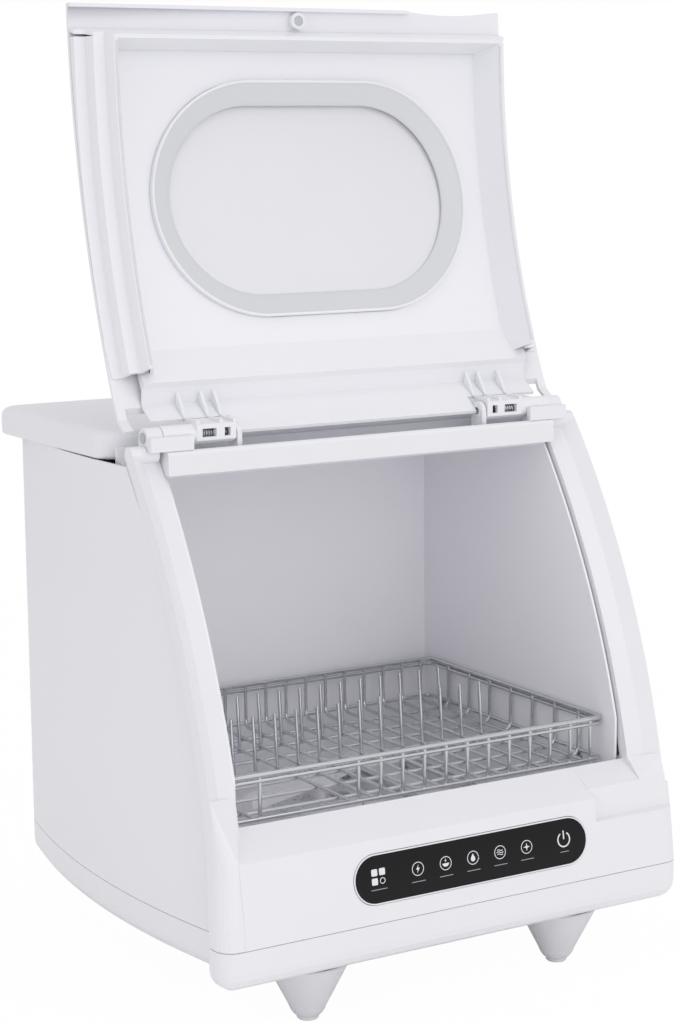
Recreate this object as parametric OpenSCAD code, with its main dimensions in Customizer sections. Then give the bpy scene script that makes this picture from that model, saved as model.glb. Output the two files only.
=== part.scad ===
// Countertop dishwasher with a lift-up curved lid.
// Millimetres, +Z up, front towards -Y. The origin is the centre of the footprint on the table.

/* [Body] */
// Width across the lower front housing
housing_w = 418; // [400:2:440]
// Width across the two arms beside the opening
arm_w = 408; // [400:1:414]
// Widest distance between the side walls
wall_w = 415; // [408:1:415]
// Radius of the barrel curve of the side walls, seen from above
wall_curve_r = 820; // [780:10:1400]
// Height of the deck above the table
body_h = 437; // [425:1:460]
// Position of the rear wall behind the centre
rear_y = 188; // [180:1:198]
// Radius of the rear vertical corners
rear_corner_r = 12; // [8:1:16]
// Thickness of the moulded shells
shell_t = 2.5; // [2:0.1:3]
// Gap left where two mouldings meet
joint_gap = 0.5; // [0.3:0.1:0.8]
// Height of the seam between base and housing
seam_z = 79; // [74:1:84]
// Height of the underside of the base
base_z = 47; // [42:1:50]
// Rounding of the lower edge of the base
base_edge_r = 15; // [6:1:18]

/* [Front arc] */
// Radius of the curved front, seen from the side
arc_r = 700; // [640:5:760]
// Height of the axis of the front arc
arc_z = 10; // [0:1:20]
// Reach of the front arc ahead of the centre
front_reach = 202; // [196:1:206]
// How far the lower housing stands ahead of the arms
housing_step = 8; // [6:0.5:10]
// Radius of the vertical front corners of the housing
housing_corner_r = 14; // [8:1:18]
// Depth of the moulded side edge of an arm
arm_depth = 13.5; // [11:0.5:16]
// Set-back of the ridge between the two bands of an arm
ridge_back = 7.5; // [5:0.5:9]
// Distance of that ridge from the opening
ridge_in = 15; // [12:1:18]
// Set-back of the edge of the opening
edge_back = 10; // [8:0.5:12]
// Height of the finger scoop edge in the housing
scoop_z = 122; // [119:1:128]
// Distance from the centre where the finger scoop starts
scoop_x = 128; // [110:1:150]

/* [Opening] */
// Width of the opening
opening_w = 356; // [330:2:360]
// Height of the lip under the opening
lip_z = 159; // [156:1:164]
// Position of the lip ahead of the centre
lip_reach = 167.5; // [166:0.5:169]
// Height of the upper edge of the opening
header_z = 407; // [400:1:410]
// Height of the ledge under the slanted face
ledge_z = 141; // [136:1:145]

/* [Deck] */
// Width of the deck
deck_w = 415; // [412:1:424]
// Thickness of the deck
deck_t = 22; // [18:1:26]
// Position of the front edge of the deck ahead of the centre
deck_front = 25; // [22:1:30]
// Overhang of the deck behind the rear wall
deck_over = 6; // [2:1:9]
// Radius of the deck corners seen from above
deck_corner_r = 24; // [14:1:34]
// Rounding of the deck edges
deck_edge_r = 7; // [4:0.5:9]

/* [Feet] */
// Distance of a foot from the middle, sideways
foot_x = 116; // [90:1:140]
// Distance of a foot ahead of or behind the centre
foot_y = 157; // [120:1:160]
// Diameter of a foot at the base
foot_top_d = 64; // [50:1:70]
// Diameter of a foot near the table
foot_tip_d = 30; // [20:1:30]
// Height of the rubber tip of a foot
foot_pad_h = 3; // [2:0.5:5]

/* [Control panel] */
// Length of the pill-shaped panel
panel_l = 214; // [180:1:230]
// Height of the pill-shaped panel
panel_h = 38; // [30:1:44]
// Distance of the panel from the middle
panel_x = 10; // [-10:1:20]
// Height of the middle of the panel
panel_z = 112; // [108:1:114]
// Width of the white rim around the panel
bezel_w = 1; // [0.8:0.1:3]

/* [Hinge] */
// Distance of the hinge axis ahead of the centre
hinge_front = 58; // [56:0.5:60]
// Depth of the hinge axis below the top of the deck
hinge_drop = 1.5; // [1:0.5:3]
// Diameter of a hinge pin
pin_d = 6; // [4:0.5:7]
// Running clearance of a pin in its bore, on the radius
pin_fit = 0.05; // [0.02:0.01:0.1]
// Outer radius of the hinge knuckles
knuckle_r = 8; // [6:0.5:8.5]
// Angle between the closed and the open lid
lid_open_angle = 168.5; // [160:0.5:169]
// Wire of the torsion springs
spring_wire_d = 1.6; // [1:0.1:1.8]
// Turns of each torsion spring
spring_turns = 6; // [4:1:7]

/* [Lid] */
// Width of the outer lid shell
lid_w = 398; // [394:1:402]
// Radius of the curve of the lid, seen from the side
lid_arc_r = 834; // [780:2:900]
// Height of the outside of the closed lid above the arc of the arms
lid_rise = 23.5; // [21:0.5:26]
// How much further the free edge of the lid stands out
lid_flare = 7; // [2:0.5:9]
// Thickness of the outer lid shell
lid_skin = 3; // [2:0.1:3.5]
// Depth of the lid liner, from its rim to its panel
liner_depth = 23; // [18:0.5:25]
// Gap between the closed rim and the edge of the opening
rim_gap = 1.5; // [1:0.1:2.5]
// Height of the free end of the closed lid
lid_low_z = 138.5; // [134:0.5:142]
// Height of the free end of the closed liner rim
rim_low_z = 154; // [152:0.5:156]
// Height of the hinge end of the closed lid arc
lid_top_z = 421; // [417:1:423]
// Length of the pull flange that the finger notch leaves
pull_end_x = 107; // [90:1:120]

/* [Window] */
// Half the width of the window ring
ring_half_w = 145; // [120:1:152]
// Half the height of the window ring
ring_half_h = 94; // [80:1:98]
// Width of the bevelled ring around the pane
ring_band = 19; // [12:1:24]
// Height of the middle of the window on the closed lid
window_z = 281; // [272:1:284]

/* [Wash chamber] */
// Clear width inside the tub
tub_w = 348; // [330:1:350]
// Height of the tub floor
tub_floor_z = 104; // [101:1:108]
// Position of the tub's back wall behind the centre
tub_back = 118; // [105:1:124]
// Wall of the tub
tub_t = 2; // [1.5:0.1:2.5]
// Height of the ledges that carry the basket
basket_ledge_z = 149; // [146:1:151]
// Position of the spray spindle behind the centre
spindle_y = 15; // [5:1:25]
// Radius of the sump well
sump_r = 38; // [34:1:44]
// Length of the spray arm
spray_l = 196; // [150:2:198]
// Height of the spray arm above the tub floor
spray_lift = 24; // [20:1:28]
// Diameter of the spray spindle
spindle_d = 10; // [8:0.5:12]

/* [Basket] */
// Width of the basket
basket_w = 342; // [320:1:344]
// Position of the basket's front rail ahead of the centre
basket_front = 150; // [140:1:152]
// Position of the basket's back rail behind the centre
basket_back = 104; // [80:1:110]
// Height of the basket rail above its floor wires
basket_h = 38; // [30:1:50]
// Distance between the upright wires
wire_pitch = 20; // [18:1:26]
// Diameter of the upright wires
wire_d = 3; // [2.4:0.1:3.4]
// Diameter of the rail wire
rail_d = 4; // [3.4:0.1:5]
// Height of the plate tines
tine_h = 46; // [30:1:60]

/* [Works] */
// Diameter of the wash pump housing
pump_d = 50; // [44:1:52]
// Diameter of the wash motor
motor_d = 44; // [36:1:48]
// Length of the wash motor
motor_l = 62; // [50:1:70]
// Outer diameter of the inner hoses
hose_d = 16; // [12:1:18]
// Diameter of the filter cup
filter_d = 22; // [16:1:23]
// Outer diameter of the threaded tap connector
inlet_d = 26.4; // [20:0.1:28]
// Outer diameter of the drain connector
drain_d = 20; // [16:0.5:24]
// Width of the water tank
tank_w = 300; // [240:5:320]
// Height of the underside of the water tank
tank_low_z = 150; // [146:1:160]
// Width of the power board
power_w = 80; // [60:1:90]
// Depth of the power board
power_l = 120; // [90:1:130]

/* [Hidden] */
$fn = 64;
arc_fn = 360;
wire_fn = 8;
eps = 0.01;

arc_y = arc_r - front_reach;
hinge_y = -hinge_front;
hinge_z = body_h - hinge_drop;
half_open = opening_w / 2;
arm_half = arm_w / 2;
housing_half = housing_w / 2;
panel_r = arc_r + housing_step;
arm_back_r = arc_r - arm_depth;
edge_r = arc_r - edge_back;
lid_r = arc_r + lid_rise;
rim_r = edge_r + rim_gap;
liner_floor_r = rim_r + liner_depth;
lid_half = lid_w / 2;
deck_z = body_h - deck_t;
tub_half = tub_w / 2;
wall_cx = wall_curve_r - wall_w / 2;
tub_top_z = header_z - 3;
spray_z = tub_floor_z + spray_lift;
cap_wall = 1;
basket_z = basket_ledge_z + rail_d / 2 + cap_wall + 0.3;
basket_rail_z = basket_z + basket_h;
basket_half = basket_w / 2;

// Y of the front arc of radius r at height z
function arc_at(r, z) = arc_y - sqrt(r * r - (z - arc_z) * (z - arc_z));
// Angle above the horizontal of height z on the arc of radius r
function arc_angle(r, z) = asin((z - arc_z) / r);
// X of the barrel side wall, inset by t, at depth y
function wall_x(t, y) = sqrt(pow(wall_curve_r - t, 2) - y * y) - wall_cx;

white = [0.91, 0.91, 0.92];
pale = [0.85, 0.85, 0.86];
black = [0.12, 0.12, 0.14];
steel = [0.72, 0.73, 0.75];
grey = [0.5, 0.5, 0.52];

// ---------------------------------------------------------------- helpers

// Extrudes a (Y, Z) outline along X from x0 to x1
module along_x(x0, x1) {
    translate([x0, 0, 0]) rotate([90, 0, 90]) linear_extrude(x1 - x0) children();
}

// Sweeps an (r, X) outline about the axis (Y, Z) = c, from angle a0 to a1
module sweep_about(c, a0, a1) {
    translate([0, c[0], c[1]]) rotate([90, 0, 90]) rotate([0, 0, 180 - a1])
        rotate_extrude(angle = a1 - a0, $fn = arc_fn) children();
}

// The same about the axis of the front arc
module arc_sweep(a0, a1) {
    sweep_about([arc_y, arc_z], a0, a1) children();
}

// Drum of radius r about the axis (Y, Z) = c
module drum_about(c, r) {
    translate([-300, c[0], c[1]]) rotate([0, 90, 0]) cylinder(r = r, h = 600, $fn = arc_fn);
}

// Everything behind the front arc of radius r
module arc_drum(r) {
    drum_about([arc_y, arc_z], r);
}

// Local frame on the front arc: X sideways, Y up along the arc, Z outwards
module on_arc(angle, r) {
    translate([0, arc_y, arc_z]) rotate([90 - angle, 0, 0]) translate([0, 0, r]) children();
}

// Upright box between two corners
module block(a, b) {
    translate(a) cube(b - a);
}

// Cylinder along X
module x_rod(x0, x1, y, z, r) {
    translate([x0, y, z]) rotate([0, 90, 0]) cylinder(r = r, h = x1 - x0);
}

// Cylinder along Y
module y_rod(y0, y1, x, z, r) {
    translate([x, y0, z]) rotate([-90, 0, 0]) cylinder(r = r, h = y1 - y0);
}

// Upright cylinder
module z_rod(z0, z1, x, y, r) {
    translate([x, y, z0]) cylinder(r = r, h = z1 - z0);
}

// Both sides of the object
module both_sides() {
    children();
    mirror([1, 0, 0]) children();
}

// Straight-sided shape with round ends: half width w, half height h
module racetrack(w, h) {
    for (s = [-1, 1]) translate([s * (w - h), 0]) circle(r = h);
    square([2 * (w - h), 2 * h], center = true);
}

// Plan of the body behind the front, inset by t
module body_plan(t, front) {
    r = wall_curve_r - t;
    c = rear_corner_r - t;
    corner_y = rear_y - rear_corner_r;
    corner_x = sqrt(pow(r - c, 2) - corner_y * corner_y) - wall_cx;
    tangent_y = corner_y * r / (r - c);
    intersection() {
        translate([-wall_cx, 0]) circle(r = r, $fn = arc_fn * 2);
        translate([wall_cx, 0]) circle(r = r, $fn = arc_fn * 2);
        translate([-300, -front]) square([600, front + tangent_y]);
    }
    for (s = [-1, 1]) translate([s * corner_x, corner_y]) circle(r = c);
    translate([-corner_x, corner_y - 20]) square([2 * corner_x, 20 + c]);
}

// Places a closed-lid part at its open position
module opened() {
    translate([0, hinge_y, hinge_z]) rotate([-lid_open_angle, 0, 0])
        translate([0, -hinge_y, -hinge_z]) children();
}

// ---------------------------------------------------------------- base and casing

base_front_r = panel_r;
base_inner_z = base_z + shell_t;
front_cut = 190;
cap_depth = housing_corner_r + 8;

// Plan of the lower body: barrel sides, and the front housing with its round corners
module base_plan(t) {
    body_plan(t, front_cut);
    front_plan(t, cap_depth - 2 * t);
}

// Plan of the front housing alone, depth mm deep
module front_plan(t, depth) {
    front_y = -arc_at(base_front_r, seam_z) - t;
    side = housing_half - t;
    c = housing_corner_r - t;
    for (s = [-1, 1]) translate([s * (side - c), -front_y + c]) circle(r = c);
    translate([-side + c, -front_y]) square([2 * (side - c), depth]);
    translate([-side, -front_y + c]) square([2 * side, depth - c]);
}

// Upright body over a plan, with a round lower edge; the plan gets the amount to grow in depth
module round_foot(top) {
    hull() {
        translate([0, 0, base_z + base_edge_r]) linear_extrude(top - base_z - base_edge_r) {
            $grow = 0;
            children();
        }
        for (a = [20, 45, 70, 90]) {
            $grow = base_edge_r * (1 - cos(a));
            translate([0, 0, base_z + base_edge_r * (1 - sin(a))]) linear_extrude(eps)
                offset(delta = -$grow) children();
        }
    }
}

// Base tray under the seam
module base_pan() color(white) {
    top = seam_z - joint_gap;
    difference() {
        union() {
            round_foot(top) body_plan(0, front_cut);
            round_foot(top) front_plan(0, cap_depth + $grow);
        }
        translate([0, 0, base_inner_z]) linear_extrude(100)
            offset(delta = -base_edge_r) base_plan(shell_t);
        translate([0, 0, base_z + base_edge_r]) linear_extrude(100) base_plan(shell_t);
        for (x = [-90:18:90]) block([x - 3, 70, base_z - 1], [x + 3, 120, base_inner_z + 1]);
        for (c = foot_centres) z_rod(base_z - 1, base_inner_z + 1, c[0], c[1], 2.7);
    }
}

foot_centres = [for (x = [-foot_x, foot_x], y = [-foot_y - 8, foot_y]) [x, y]];

foot_tip_r = foot_tip_d / 2;
pad_r = sqrt(foot_tip_r * foot_tip_r - pow(foot_tip_r - foot_pad_h, 2)) - 0.5;

// Four tapered feet with domed tips
module feet() color(white) for (c = foot_centres) translate([c[0], c[1], 0])
    difference() {
        a0 = asin((foot_pad_h - foot_tip_r) / foot_tip_r);
        rotate_extrude() polygon(concat(
            [[0, foot_pad_h]],
            [for (i = [0:8]) let (a = a0 + (-15 - a0) * i / 8)
                [foot_tip_r * cos(a), foot_tip_r + foot_tip_r * sin(a)]],
            [[foot_top_d / 2, base_z - joint_gap - 1], [foot_top_d / 2 - 1, base_z - joint_gap],
             [0, base_z - joint_gap]]
        ));
        translate([0, 0, 15]) cylinder(d = 5, h = base_z);
    }

// Rubber tips under the feet
module foot_pads() color(pale) for (c = foot_centres) translate([c[0], c[1], 0])
    rotate_extrude() polygon([
        [0, 0], [pad_r - 1, 0], [pad_r, 1], [pad_r, foot_pad_h], [0, foot_pad_h]
    ]);

panel_front_r = arm_back_r - joint_gap;
rear_return_x = 165;

// Side wall with its rear corner
module side_panel() difference() {
    side_wall();
    for (p = rear_screw_at) y_rod(rear_y - 20, rear_y + 1, abs(p[0]), p[1], screw_r + 0.05);
}

screw_r = 1.4;

module side_wall() {
    intersection() {
        translate([0, 0, seam_z]) linear_extrude(deck_z - joint_gap - seam_z) difference() {
            body_plan(0, front_cut);
            body_plan(shell_t, front_cut + 1);
            translate([-rear_return_x, -300]) square([2 * rear_return_x, 600]);
            translate([-400, -300]) square([400, 600]);
        }
        arc_drum(panel_front_r);
    }
    // edge flange inside the rear joint
    block([rear_return_x - 10, rear_y - 2 * shell_t - joint_gap, seam_z + 8],
          [rear_return_x + 6, rear_y - shell_t - eps, deck_z - 12]);
    block([rear_return_x + 1, rear_y - 2 * shell_t - joint_gap, seam_z + 8],
          [rear_return_x + 6, rear_y - shell_t + 0.5, deck_z - 12]);
}

module side_panel_right() color(white) side_panel();
module side_panel_left() color(white) mirror([1, 0, 0]) side_panel();

rear_screw_at = [for (x = [-1, 1], z = [seam_z + 22, deck_z - 28]) [x * (rear_return_x - 6), z]];
inlet_x = 120;
drain_x = 84;
gland_x = -128;
port_end = -arc_at(panel_r, seam_z);
collar_t = 2;
collar_out = 3;
port_z = base_inner_z + 27.5 + 32;

// Rear wall with its vents and the holes for the connectors
module rear_cover() color(white) difference() {
    block([-rear_return_x + joint_gap, rear_y - shell_t, seam_z],
          [rear_return_x - joint_gap, rear_y, deck_z - joint_gap]);
    for (x = [-60:10:60]) block([x - 2, rear_y - 9, 300], [x + 2, rear_y + 9, 350]);
    for (x = [-60:10:60]) block([x - 2, rear_y - 9, 130], [x + 2, rear_y + 9, 165]);
    y_rod(rear_y - 9, rear_y + 9, inlet_x, port_z, inlet_d / 2 + collar_t + joint_gap);
    y_rod(rear_y - 9, rear_y + 9, drain_x, port_z, drain_d / 2 + collar_t + joint_gap);
    y_rod(rear_y - 9, rear_y + 9, gland_x, port_z, 8 + joint_gap);
    for (p = rear_screw_at) y_rod(rear_y - 9, rear_y + 9, p[0], p[1], 1.8);
}

// Round-headed screws that hold the rear wall
module rear_screws() color(steel) for (p = rear_screw_at) {
    y_rod(rear_y + eps, rear_y + 1.6, p[0], p[1], 3.4);
    y_rod(rear_y - 2 * shell_t - joint_gap - 5, rear_y + eps, p[0], p[1], screw_r);
}

// Deck plate with soft edges
module top_deck() color(white) {
    half = deck_w / 2;
    back = rear_y + deck_over;
    difference() {
        hull() for (x = [-1, 1], y = [-deck_front + deck_corner_r, back - deck_corner_r])
            translate([x * (half - deck_corner_r), y, deck_z]) rotate_extrude($fn = 48) {
                square([deck_corner_r - deck_edge_r, deck_t]);
                translate([0, 3]) square([deck_corner_r, deck_t - deck_edge_r - 3]);
                square([deck_corner_r - 3, 5]);
                translate([deck_corner_r - 3, 3]) circle(r = 3, $fn = 16);
                translate([deck_corner_r - deck_edge_r, deck_t - deck_edge_r])
                    circle(r = deck_edge_r, $fn = 24);
            }
        block([-half + 12, -deck_front + 6, deck_z - 1], [half - 12, back - 12, body_h - shell_t]);
    }
}

// ---------------------------------------------------------------- front frame

arm_top_a = arc_angle(arc_r, hinge_z - 11);
arm_low_a = arc_angle(arc_r, seam_z + 12);
scoop_r = arc_r + 2;
skin_t = 3;

// Section of one arm in (r, X)
module arm_section() {
    polygon([
        [arc_r, arm_half], [arc_r - ridge_back, half_open + ridge_in], [edge_r, half_open],
        [edge_r - 20, half_open], [edge_r - 20, half_open + skin_t],
        [arm_back_r, half_open + skin_t], [arm_back_r, arm_half]
    ]);
}

// Section of the front housing in (r, X)
module housing_section() {
    c = housing_corner_r;
    difference() {
        union() {
            intersection() {
                for (s = [-1, 1]) translate([panel_r - c, s * (housing_half - c)]) circle(r = c);
                translate([arm_back_r, -housing_half]) square([2 * c, housing_w]);
            }
            translate([arm_back_r, -housing_half]) square([panel_r - c - arm_back_r, housing_w]);
            translate([arm_back_r, -housing_half + c])
                square([panel_r - arm_back_r, housing_w - 2 * c]);
        }
        translate([arm_back_r + skin_t, -housing_half + skin_t])
            square([panel_r - arm_back_r - 2 * c, housing_w - 2 * skin_t]);
        translate([arm_back_r + skin_t, -housing_half + c])
            square([panel_r - arm_back_r - 2 * skin_t, housing_w - 2 * c]);
        translate([arm_back_r - 1, -half_open - 4])
            square([panel_r - skin_t - arm_back_r + 1, opening_w + 8]);
    }
}

// Slanted plate from (y0, z0) up to the lip, and the short wall down from the lip
module lip_plate(x0, x1, y0, z0) {
    along_x(x0, x1) polygon([
        [y0, z0], [-lip_reach - 1, lip_z], [-lip_reach, lip_z - 1], [-lip_reach, lip_z - 12],
        [-lip_reach - skin_t, lip_z - 12], [-lip_reach - skin_t, lip_z - skin_t - 2],
        [y0 + skin_t, z0 - skin_t]
    ]);
}

module pill_cut(grow, r0, r1) {
    on_arc(arc_angle(panel_r, panel_z), r0) translate([panel_x, 0, 0])
        linear_extrude(r1 - r0) racetrack(panel_l / 2 + grow, panel_h / 2 + grow);
}

// Thin slab of an (r, X) outline at height z of the front arc
module arc_slab(z) {
    arc_sweep(arc_angle(arc_r, z), arc_angle(arc_r, z) + 0.05) children();
}

blend_z = 96;

// Left end of the housing in (r, X), set back by d in depth and by w in width
module left_corner(d, w) {
    c = housing_corner_r;
    polygon(concat(
        [[arm_back_r + 0.6, -housing_half + 19], [panel_r - d, -housing_half + 19]],
        [for (a = [0:15:90]) [panel_r - d - c + c * cos(a), -housing_half + w + c - c * sin(a)]],
        [[arm_back_r + 0.6, -housing_half + w]]
    ));
}

// Front frame: the two arms, the slanted lip and the lower housing in one moulding
module front_frame() color(white) difference() {
    union() {
        both_sides() arc_sweep(arm_low_a, arm_top_a) arm_section();
        both_sides() x_rod(half_open + skin_t, arm_half, arc_at(arc_r - 6.6, hinge_z - 12.5),
                           hinge_z - 12.5, 6.6);
        both_sides() intersection() {
            arc_sweep(arc_angle(panel_r, seam_z - 4), arc_angle(panel_r, scoop_z - 4))
                translate([arm_back_r + 0.2, wall_x(0, arc_at(arm_back_r, seam_z)) - 2])
                    square([skin_t, 21]);
            block([0, -300, seam_z], [300, 0, scoop_z + 10]);
        }
        difference() {
            union() {
                intersection() {
                    arc_sweep(arc_angle(panel_r, seam_z - 12), arc_angle(panel_r, ledge_z + 1))
                        housing_section();
                    block([-300, -300, seam_z], [300, 0, ledge_z]);
                }
                // floor of the scoop
                arc_sweep(arc_angle(panel_r, scoop_z - 5), arc_angle(panel_r, scoop_z + 6))
                    translate([scoop_r - 2, scoop_x - skin_t + 0.5])
                        square([panel_r - scoop_r + 0.4, housing_half - scoop_x - 4]);
            }
            // finger scoop
            difference() {
                along_x(scoop_x, 300) polygon([
                    [-300, scoop_z + 3], [arc_at(panel_r, scoop_z), scoop_z],
                    [arc_at(scoop_r, scoop_z) + 8, scoop_z + 1],
                    [arc_at(scoop_r, scoop_z) + 8, ledge_z + 20], [-300, ledge_z + 20]
                ]);
                arc_drum(scoop_r - 0.3);
            }
            block([-300, -300, seam_z - 1], [-housing_half + 18.5, 0, ledge_z + 9]);
        }
        // wall of the scoop and the blends into the right and left arm
        arc_sweep(arc_angle(scoop_r, scoop_z - 8), arc_angle(scoop_r, lip_z - 12.4))
            translate([scoop_r - skin_t, scoop_x - skin_t])
                square([skin_t, arm_half - scoop_x + skin_t]);
        hull() {
            arc_slab(lip_z + 4) polygon([
                [arm_back_r + 1, half_open + 1.5], [edge_r - 0.5, half_open + 0.5],
                [edge_r + 2, half_open + ridge_in], [arc_r - 0.5, arm_half], [arm_back_r + 1, arm_half]
            ]);
            arc_slab(lip_z - 13) polygon([
                [arm_back_r + 1, half_open + 1.5], [scoop_r - 0.3, half_open + 0.5],
                [scoop_r - 0.3, arm_half], [arm_back_r + 1, arm_half]
            ]);
        }
        hull() {
            arc_slab(lip_z + 26) polygon([
                [arm_back_r + 1, -half_open - 1.5], [edge_r - 0.5, -half_open - 0.4],
                [arc_r - ridge_back - 0.4, -half_open - ridge_in],
                [arc_r - 0.4, 0.4 - arm_half], [arm_back_r + 1, 0.4 - arm_half]
            ]);
            arc_slab(ledge_z - 2) left_corner(0.3, 3.5);
        }
        intersection() {
            hull() {
                arc_slab(ledge_z - 2) left_corner(0.3, 3.5);
                arc_slab(blend_z) left_corner(0.3, 0.3);
                arc_slab(seam_z - 4) left_corner(0.3, 0.3);
            }
            block([-300, -300, seam_z], [0, 0, ledge_z]);
        }
        lip_plate(-housing_half + 18, scoop_x, arc_at(panel_r, ledge_z), ledge_z);
        lip_plate(scoop_x - 1, half_open + 4, arc_at(scoop_r, lip_z - 13), lip_z - 13);
    }
    pill_cut(joint_gap, panel_r - 12, panel_r + 5);
    both_sides() block([half_open - 1, -header_front - 10, header_top],
                       [block_x1 + 0.5, -deck_front, hinge_z + 30]);
    both_sides() intersection() {
        block([half_open + skin_t + 0.2, -lip_reach - 12, ledge_z - 40], [300, 0, lip_z + 1]);
        arc_drum(panel_front_r + joint_gap / 2);
    }
}

// White rim around the touch panel
module panel_bezel() color(white) intersection() {
    difference() {
        pill_cut(0, panel_r - 12, panel_r + 5);
        pill_cut(-bezel_w, panel_r - 13, panel_r + 6);
    }
    arc_sweep(arc_angle(panel_r, panel_z - 40), arc_angle(panel_r, panel_z + 40))
        translate([panel_r - skin_t - 1, -housing_half]) square([skin_t + 1.6, housing_w]);
}

// Black touch panel
module touch_panel() color(black) intersection() {
    pill_cut(-bezel_w - 0.1, panel_r - 12, panel_r + 5);
    arc_sweep(arc_angle(panel_r, panel_z - 40), arc_angle(panel_r, panel_z + 40))
        translate([panel_r - skin_t - 1, -housing_half]) square([skin_t + 1.2, housing_w]);
}

// ---------------------------------------------------------------- header and hinge

header_front = 73;
header_top = hinge_z - 10;
trough_z = header_z + 8;
block_x0 = 150;
block_x1 = 191;
ear_t = 4;
ear_out = 178;
block_back = 47;
lug_x0 = 116;
pin_x0 = lug_x0 - 5;
pin_x1 = block_x1 + 1;

// Crossbar over the opening, with the trough that carries the hinges
module header_bar() color(white) difference() {
    union() {
        along_x(-half_open + joint_gap, half_open - joint_gap) polygon([
            [-header_front, header_z], [-header_front, header_top - 3],
            [-header_front + 1, header_top - 1], [-header_front + 3, header_top],
            [-deck_front - joint_gap, header_top], [-deck_front - joint_gap, header_z]
        ]);
        both_sides() intersection() {
            block([half_open - 1, -deck_front - 22, header_z],
                  [arm_half - 5, -deck_front - joint_gap, header_top]);
            arc_drum(edge_r - 20 - joint_gap);
        }
    }
    block([-half_open + 2, -header_front + 4, trough_z],
          [half_open - 2, -deck_front - 4, header_top + 1]);
    both_sides() for (x = [lug_x0 + 6, half_open - 12])
        z_rod(header_z - 1, trough_z + 1, x, -block_back + 4, 1.7);
}

// Body side of one hinge: a foot plate, two ears with a bore, and a shield in front
module hinge_block() {
    y0 = hinge_y - 8;
    difference() {
        union() {
            block([lug_x0 - 5, y0, trough_z + eps], [half_open - 3, -block_back + 10, trough_z + 3]);
            for (x = [[lug_x0 - 5, lug_x0 - 1], [ear_out, block_x1]]) {
                block([x[0], y0, x[0] > 150 ? header_top + eps : trough_z + eps],
                      [x[1], hinge_y + 8, hinge_z]);
                x_rod(x[0], x[1], hinge_y, hinge_z, 7.5);
            }
            block([block_x0 + 5, -header_front + 1.5, header_top + eps], [block_x1, y0 - 0.4, hinge_z + 1]);
            block([ear_out, -header_front + 1.5, header_top + eps], [block_x1, y0 + 1, hinge_z + 1]);
            block([block_x0 + 5, y0 - 1.6, trough_z + eps], [half_open - 3, y0 - 0.4, hinge_z]);
            block([block_x0 + 5, y0 - 1.6, trough_z + eps], [half_open - 3, y0 + 1, trough_z + 3]);
            block([ear_out - 6, y0 - 1, trough_z + eps], [half_open - 3, hinge_y + 8, header_top + 1]);
            block([ear_out - 6, y0 - 1, header_top + eps], [ear_out + 2, hinge_y + 8, header_top + 1.6]);
        }
        x_rod(pin_x0 - 1, block_x1 + 1, hinge_y, hinge_z, pin_d / 2 + pin_fit);
        for (x = [lug_x0 + 6, half_open - 12]) z_rod(trough_z - 1, trough_z + 9, x, -block_back + 4, 1.7);
    }
}

// Hinge pin with its outer head
module hinge_pin() {
    x_rod(pin_x0 + 0.5, pin_x1, hinge_y, hinge_z, pin_d / 2);
    x_rod(block_x1 + 0.3, pin_x1, hinge_y, hinge_z, pin_d / 2 + 1);
}

module hinge_block_right() color(white) hinge_block();
module hinge_block_left() color(white) mirror([1, 0, 0]) hinge_block();
module hinge_pin_right() color(steel) hinge_pin();
module hinge_pin_left() color(steel) mirror([1, 0, 0]) hinge_pin();

// ---------------------------------------------------------------- lid

lid_mid_z = (lid_low_z + lid_top_z) / 2 + 20;
lid_mid = [arc_at(lid_r, lid_mid_z), lid_mid_z];
lid_end = [arc_at(lid_r + lid_flare, lid_low_z), lid_low_z];
lid_chord = lid_end - lid_mid;
lid_sagitta = sqrt(lid_arc_r * lid_arc_r - lid_chord * lid_chord / 4);
// Centre (Y, Z) of the lid's own curve
lid_c = (lid_mid + lid_end) / 2 + lid_sagitta / norm(lid_chord) * [-lid_chord[1], lid_chord[0]];
lid_in_r = lid_arc_r - lid_skin;

// Y and angle of height z on the lid curve of radius r
function lid_at(r, z) = lid_c[0] - sqrt(r * r - (z - lid_c[1]) * (z - lid_c[1]));
function lid_angle(r, z) = asin((z - lid_c[1]) / r);

lid_low_a = lid_angle(lid_arc_r, lid_low_z);
lid_top_a = lid_angle(lid_arc_r, lid_top_z);
liner_low_a = arc_angle(rim_r, rim_low_z);
liner_top_a = arc_angle(rim_r, header_z - 19);
window_a = arc_angle(liner_floor_r, window_z);
liner_gap = 0.4;
step_r = rim_r + 27;

// Local frame on the lid curve: X sideways, Y up along the lid, Z outwards
module on_lid(angle, r) {
    translate([0, lid_c[0], lid_c[1]]) rotate([90 - angle, 0, 0]) translate([0, 0, r]) children();
}

// Closed-lid prism of the window opening, from radius r0 to r1
module window_prism(grow, r0, r1) {
    on_arc(window_a, r0) linear_extrude(r1 - r0) racetrack(ring_half_w + grow, ring_half_h + grow);
}

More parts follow.
